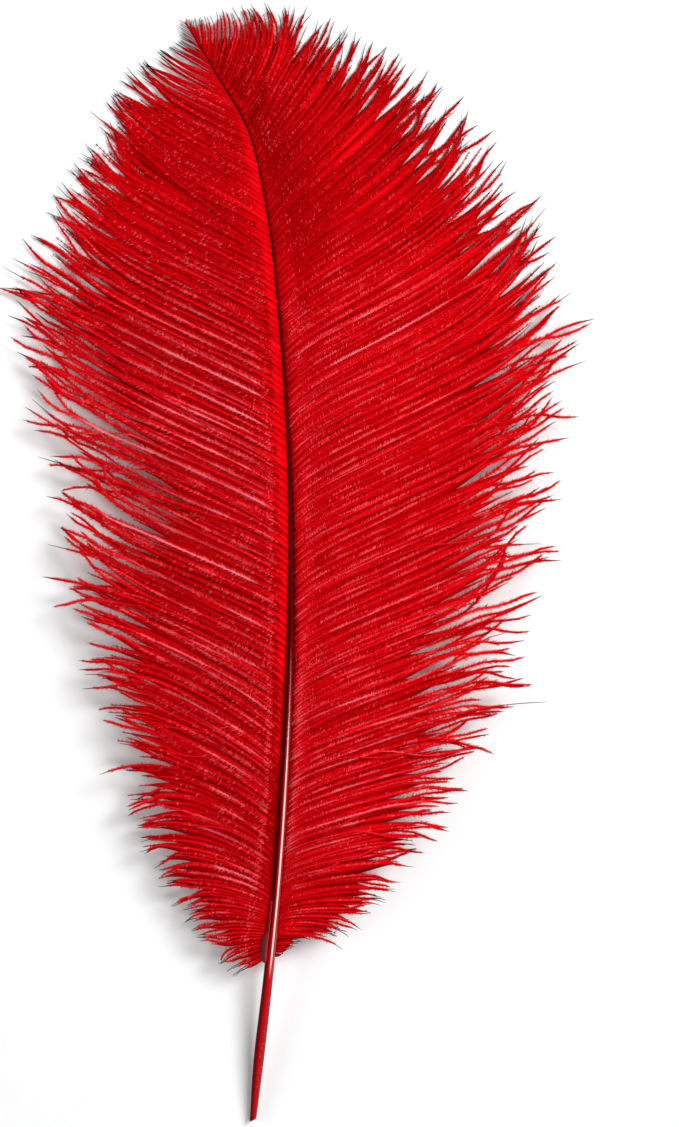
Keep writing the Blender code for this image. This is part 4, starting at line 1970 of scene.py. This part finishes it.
@dataclass
class DarkFlap:
    """The small dull flap beside the shaft, at the foot of the left vane.

    Attributes:
        low, high: the y that it lies between.
        width, thickness: its greatest width, and its thickness.
        narrow_over, narrow_by: where along it it narrows, and by what share.
        end_over, end_width: where its lower end widens, and the share of the width that it starts with.
        ragged: the least and greatest share of the width from row to row.
        root_out, root_up: how far beside and above the shaft's middle it begins, in the shaft's radii.
        rise, droop: how far it lies above that, and how far its outer edge hangs down.
        columns, rows: its faces across and along.
        seed: the seed of its chance.
    """

    low: float = -0.1532
    high: float = -0.1290
    width: float = 0.0031
    thickness: float = 0.00025
    narrow_over: Span = (0.28, 0.60)
    narrow_by: float = 0.72
    end_over: Span = (0.0, 0.10)
    end_width: float = 0.35
    ragged: Span = (0.75, 1.15)
    root_out: float = 0.72
    root_up: float = 0.30
    rise: float = 0.0009
    droop: float = 0.0012
    columns: int = 6
    rows: int = 22
    seed: int = 5

    def build(self, finish: bpy.types.Material) -> None:
        """Models the flap from a plane: widest low down, ragged at its outer edge, lying on the barbs.

        Args:
            finish: its finish.
        """
        deselect()
        bpy.ops.mesh.primitive_grid_add(x_subdivisions=self.columns, y_subdivisions=self.rows, size=1)
        flap = bpy.context.object
        flap.name = "dark_flap"
        chance = np.random.default_rng(self.seed)
        ragged = chance.uniform(*self.ragged, self.rows + 1)
        for vertex in flap.data.vertices:
            across, along = 0.5 - vertex.co.x, vertex.co.y + 0.5
            y = self.low + along * (self.high - self.low)
            middle, height, radius = read_rows(SHAFT_LINE, np.array([y]))[0]
            narrow = 1 - self.narrow_by * float(ease(np.array(along), *self.narrow_over))
            low_end = float(ease(np.array(along), *self.end_over))
            wide = self.end_width + (1 - self.end_width) * low_end
            reach = self.width * narrow * wide * ragged[int(along * self.rows)]
            x = middle - radius * self.root_out - across * reach
            z = height + radius * self.root_up + self.rise - self.droop * across ** 2
            vertex.co = (x, y, z)
        flap.data.uv_layers[0].name = MAP
        only(flap)
        wall = flap.modifiers.new("wall", "SOLIDIFY")
        wall.thickness = self.thickness
        bpy.ops.object.modifier_apply(modifier=wall.name)
        bpy.ops.object.mode_set(mode="EDIT")
        bpy.ops.mesh.select_all(action="SELECT")
        bpy.ops.mesh.normals_make_consistent(inside=False)
        bpy.ops.object.mode_set(mode="OBJECT")
        flap.data.shade_smooth()
        dress(flap, finish)


@dataclass
class Studio:
    """The plain floor, the soft lights and the camera that looks straight down.

    Attributes:
        floor_size, floor_drop: the floor's side, and how far it lies below the feather.
        lamps: each light's name, azimuth, elevation, distance, size and power, as light() takes them.
        no_gloss: the lights that show in no reflection.
        sky: the strength of the white surroundings.
        pixel, picture, origin: the photograph's scale, its size, and the pixel at the frame's zero.
        lens, sensor: the camera's lens and sensor in millimetres.
        focus_height: the height that the scale holds at.
        clips: the nearest and farthest distance seen.
    """

    floor_size: float = 8.0
    floor_drop: float = 0.0004
    lamps: Sequence[tuple[str, float, float, float, float, float]] = (
        ("key", 34, 38, 2.4, 0.9, 60),
        ("side", -20, 62, 1.2, 0.30, 3.4),
        ("fill", 178, 22, 2.6, 1.6, 29),
        ("top", 90, 80, 3.0, 1.6, 6),
    )
    no_gloss: Sequence[str] = ("fill",)
    sky: float = 0.17
    pixel: float = 0.000386
    picture: tuple[int, int] = (679, 1127)
    origin: tuple[float, float] = (291.0, 564.5)
    lens: float = 85.0
    sensor: float = 36.0
    focus_height: float = 0.006
    clips: Span = (0.01, 50)

    def floor(self) -> None:
        """Lays the floor."""
        deselect()
        bpy.ops.mesh.primitive_plane_add(size=self.floor_size, location=(0, 0, -self.floor_drop))
        floor = bpy.context.object
        floor.name = "floor"
        bpy.ops.object.transform_apply(location=True, rotation=True, scale=True)
        floor.data.materials.append(PalePaper().material())

    def light(
        self, name: str, azimuth: float, elevation: float, distance: float, size: float, power: float
    ) -> bpy.types.Object:
        """Hangs a square soft light that faces the feather.

        Args:
            name: the light's name.
            azimuth: degrees from +X towards +Y.
            elevation: degrees above the floor.
            distance: metres from the feather's middle.
            size: metres along a side.
            power: watts.

        Returns:
            The light.
        """
        data = bpy.data.lights.new(name, "AREA")
        data.shape = "SQUARE"
        data.size = size
        data.energy = power
        lamp = bpy.data.objects.new(name, data)
        turn, lift = math.radians(azimuth), math.radians(elevation)
        way = Vector((math.cos(turn) * math.cos(lift), math.sin(turn) * math.cos(lift), math.sin(lift)))
        lamp.location = way * distance
        lamp.rotation_euler = way.to_track_quat("Z", "Y").to_euler()
        bpy.context.scene.collection.objects.link(lamp)
        return lamp

    def lights(self) -> None:
        """Sets the key light at the upper right, the fills and the pale surroundings."""
        for lamp in self.lamps:
            self.light(*lamp).visible_glossy = lamp[0] not in self.no_gloss
        world = bpy.data.worlds.new("pale studio")
        world.use_nodes = True
        background = world.node_tree.nodes["Background"]
        background.inputs["Color"].default_value = (1.0, 1.0, 1.0, 1)
        background.inputs["Strength"].default_value = self.sky
        bpy.context.scene.world = world

    def camera(self) -> None:
        """Places the camera so that the picture's frame covers the feather as in the photograph."""
        data = bpy.data.cameras.new("camera")
        data.lens = self.lens
        data.sensor_width = self.sensor
        data.clip_start, data.clip_end = self.clips
        data.dof.use_dof = False
        camera = bpy.data.objects.new("camera", data)
        width, height = self.picture
        distance = height * self.pixel * self.lens / self.sensor
        x = (width / 2 - self.origin[0]) * self.pixel
        y = (self.origin[1] - height / 2) * self.pixel
        camera.location = (x, y, distance + self.focus_height)
        bpy.context.scene.collection.objects.link(camera)
        bpy.context.scene.camera = camera

    def build(self) -> None:
        """Sets the studio up."""
        self.floor()
        self.lights()
        self.camera()
        bpy.context.scene.view_settings.view_transform = "Standard"


def main() -> None:
    """Builds the feather and the studio."""
    logging.basicConfig(level=logging.INFO, format="%(message)s")
    barb_finish = DyedBarbs().material()
    Shaft().build(DyedQuill().material())
    DarkFlap().build(DarkFlapFinish().material())
    right = Habit(
        bunch_sizes=(1, 3),
        lock_sizes=(5, 12),
        shade=0.40,
        painted_crest_highlight=0.32,
        comb_shade=0.90,
        comb_painted_shade=0.08,
        upper_dark=0.19,
        bare_root=0.0016,
        tip_bare=0.0,
        tip_slim=0.0,
        tip_hair=-0.0016,
        ridge_rise=0.00035,
        strokes=0.60,
        stroke_shades=(0.74, 0.95),
        stroke_length=0.50,
        strokes_below=False,
        stroke_lean=0.50,
        stroke_reach=0.042,
        speckles=0.05,
    )
    left = Habit(
        bunch_sizes=(2, 5),
        lock_sizes=(6, 13),
        shade=0.48,
        painted_crest_highlight=0.39,
        comb_shade=-0.16,
        comb_painted_shade=0.12,
        upper_dark=0.15,
        bare_root=0.0050,
        tip_bare=0.005,
        tip_slim=0.55,
        tip_hair=0.0020,
        ridge_rise=0.00035,
        strokes=0.38,
        stroke_shades=(0.78, 0.97),
        stroke_length=0.70,
        strokes_below=True,
        stroke_lean=0.56,
        stroke_reach=0.060,
        speckles=0.55,
    )
    vanes = (
        Vane(Side.RIGHT, RIGHT_VANE, RIGHT_GATHER, RIGHT_STRAYS, right, seed=11, naked_from=0.2065),
        Vane(Side.LEFT, LEFT_VANE, LEFT_GATHER, LEFT_STRAYS, left, seed=23, naked_from=0.2010),
    )
    for vane in vanes:
        vane.build(barb_finish)
    Studio().build()


if __name__ == "__main__":
    main()
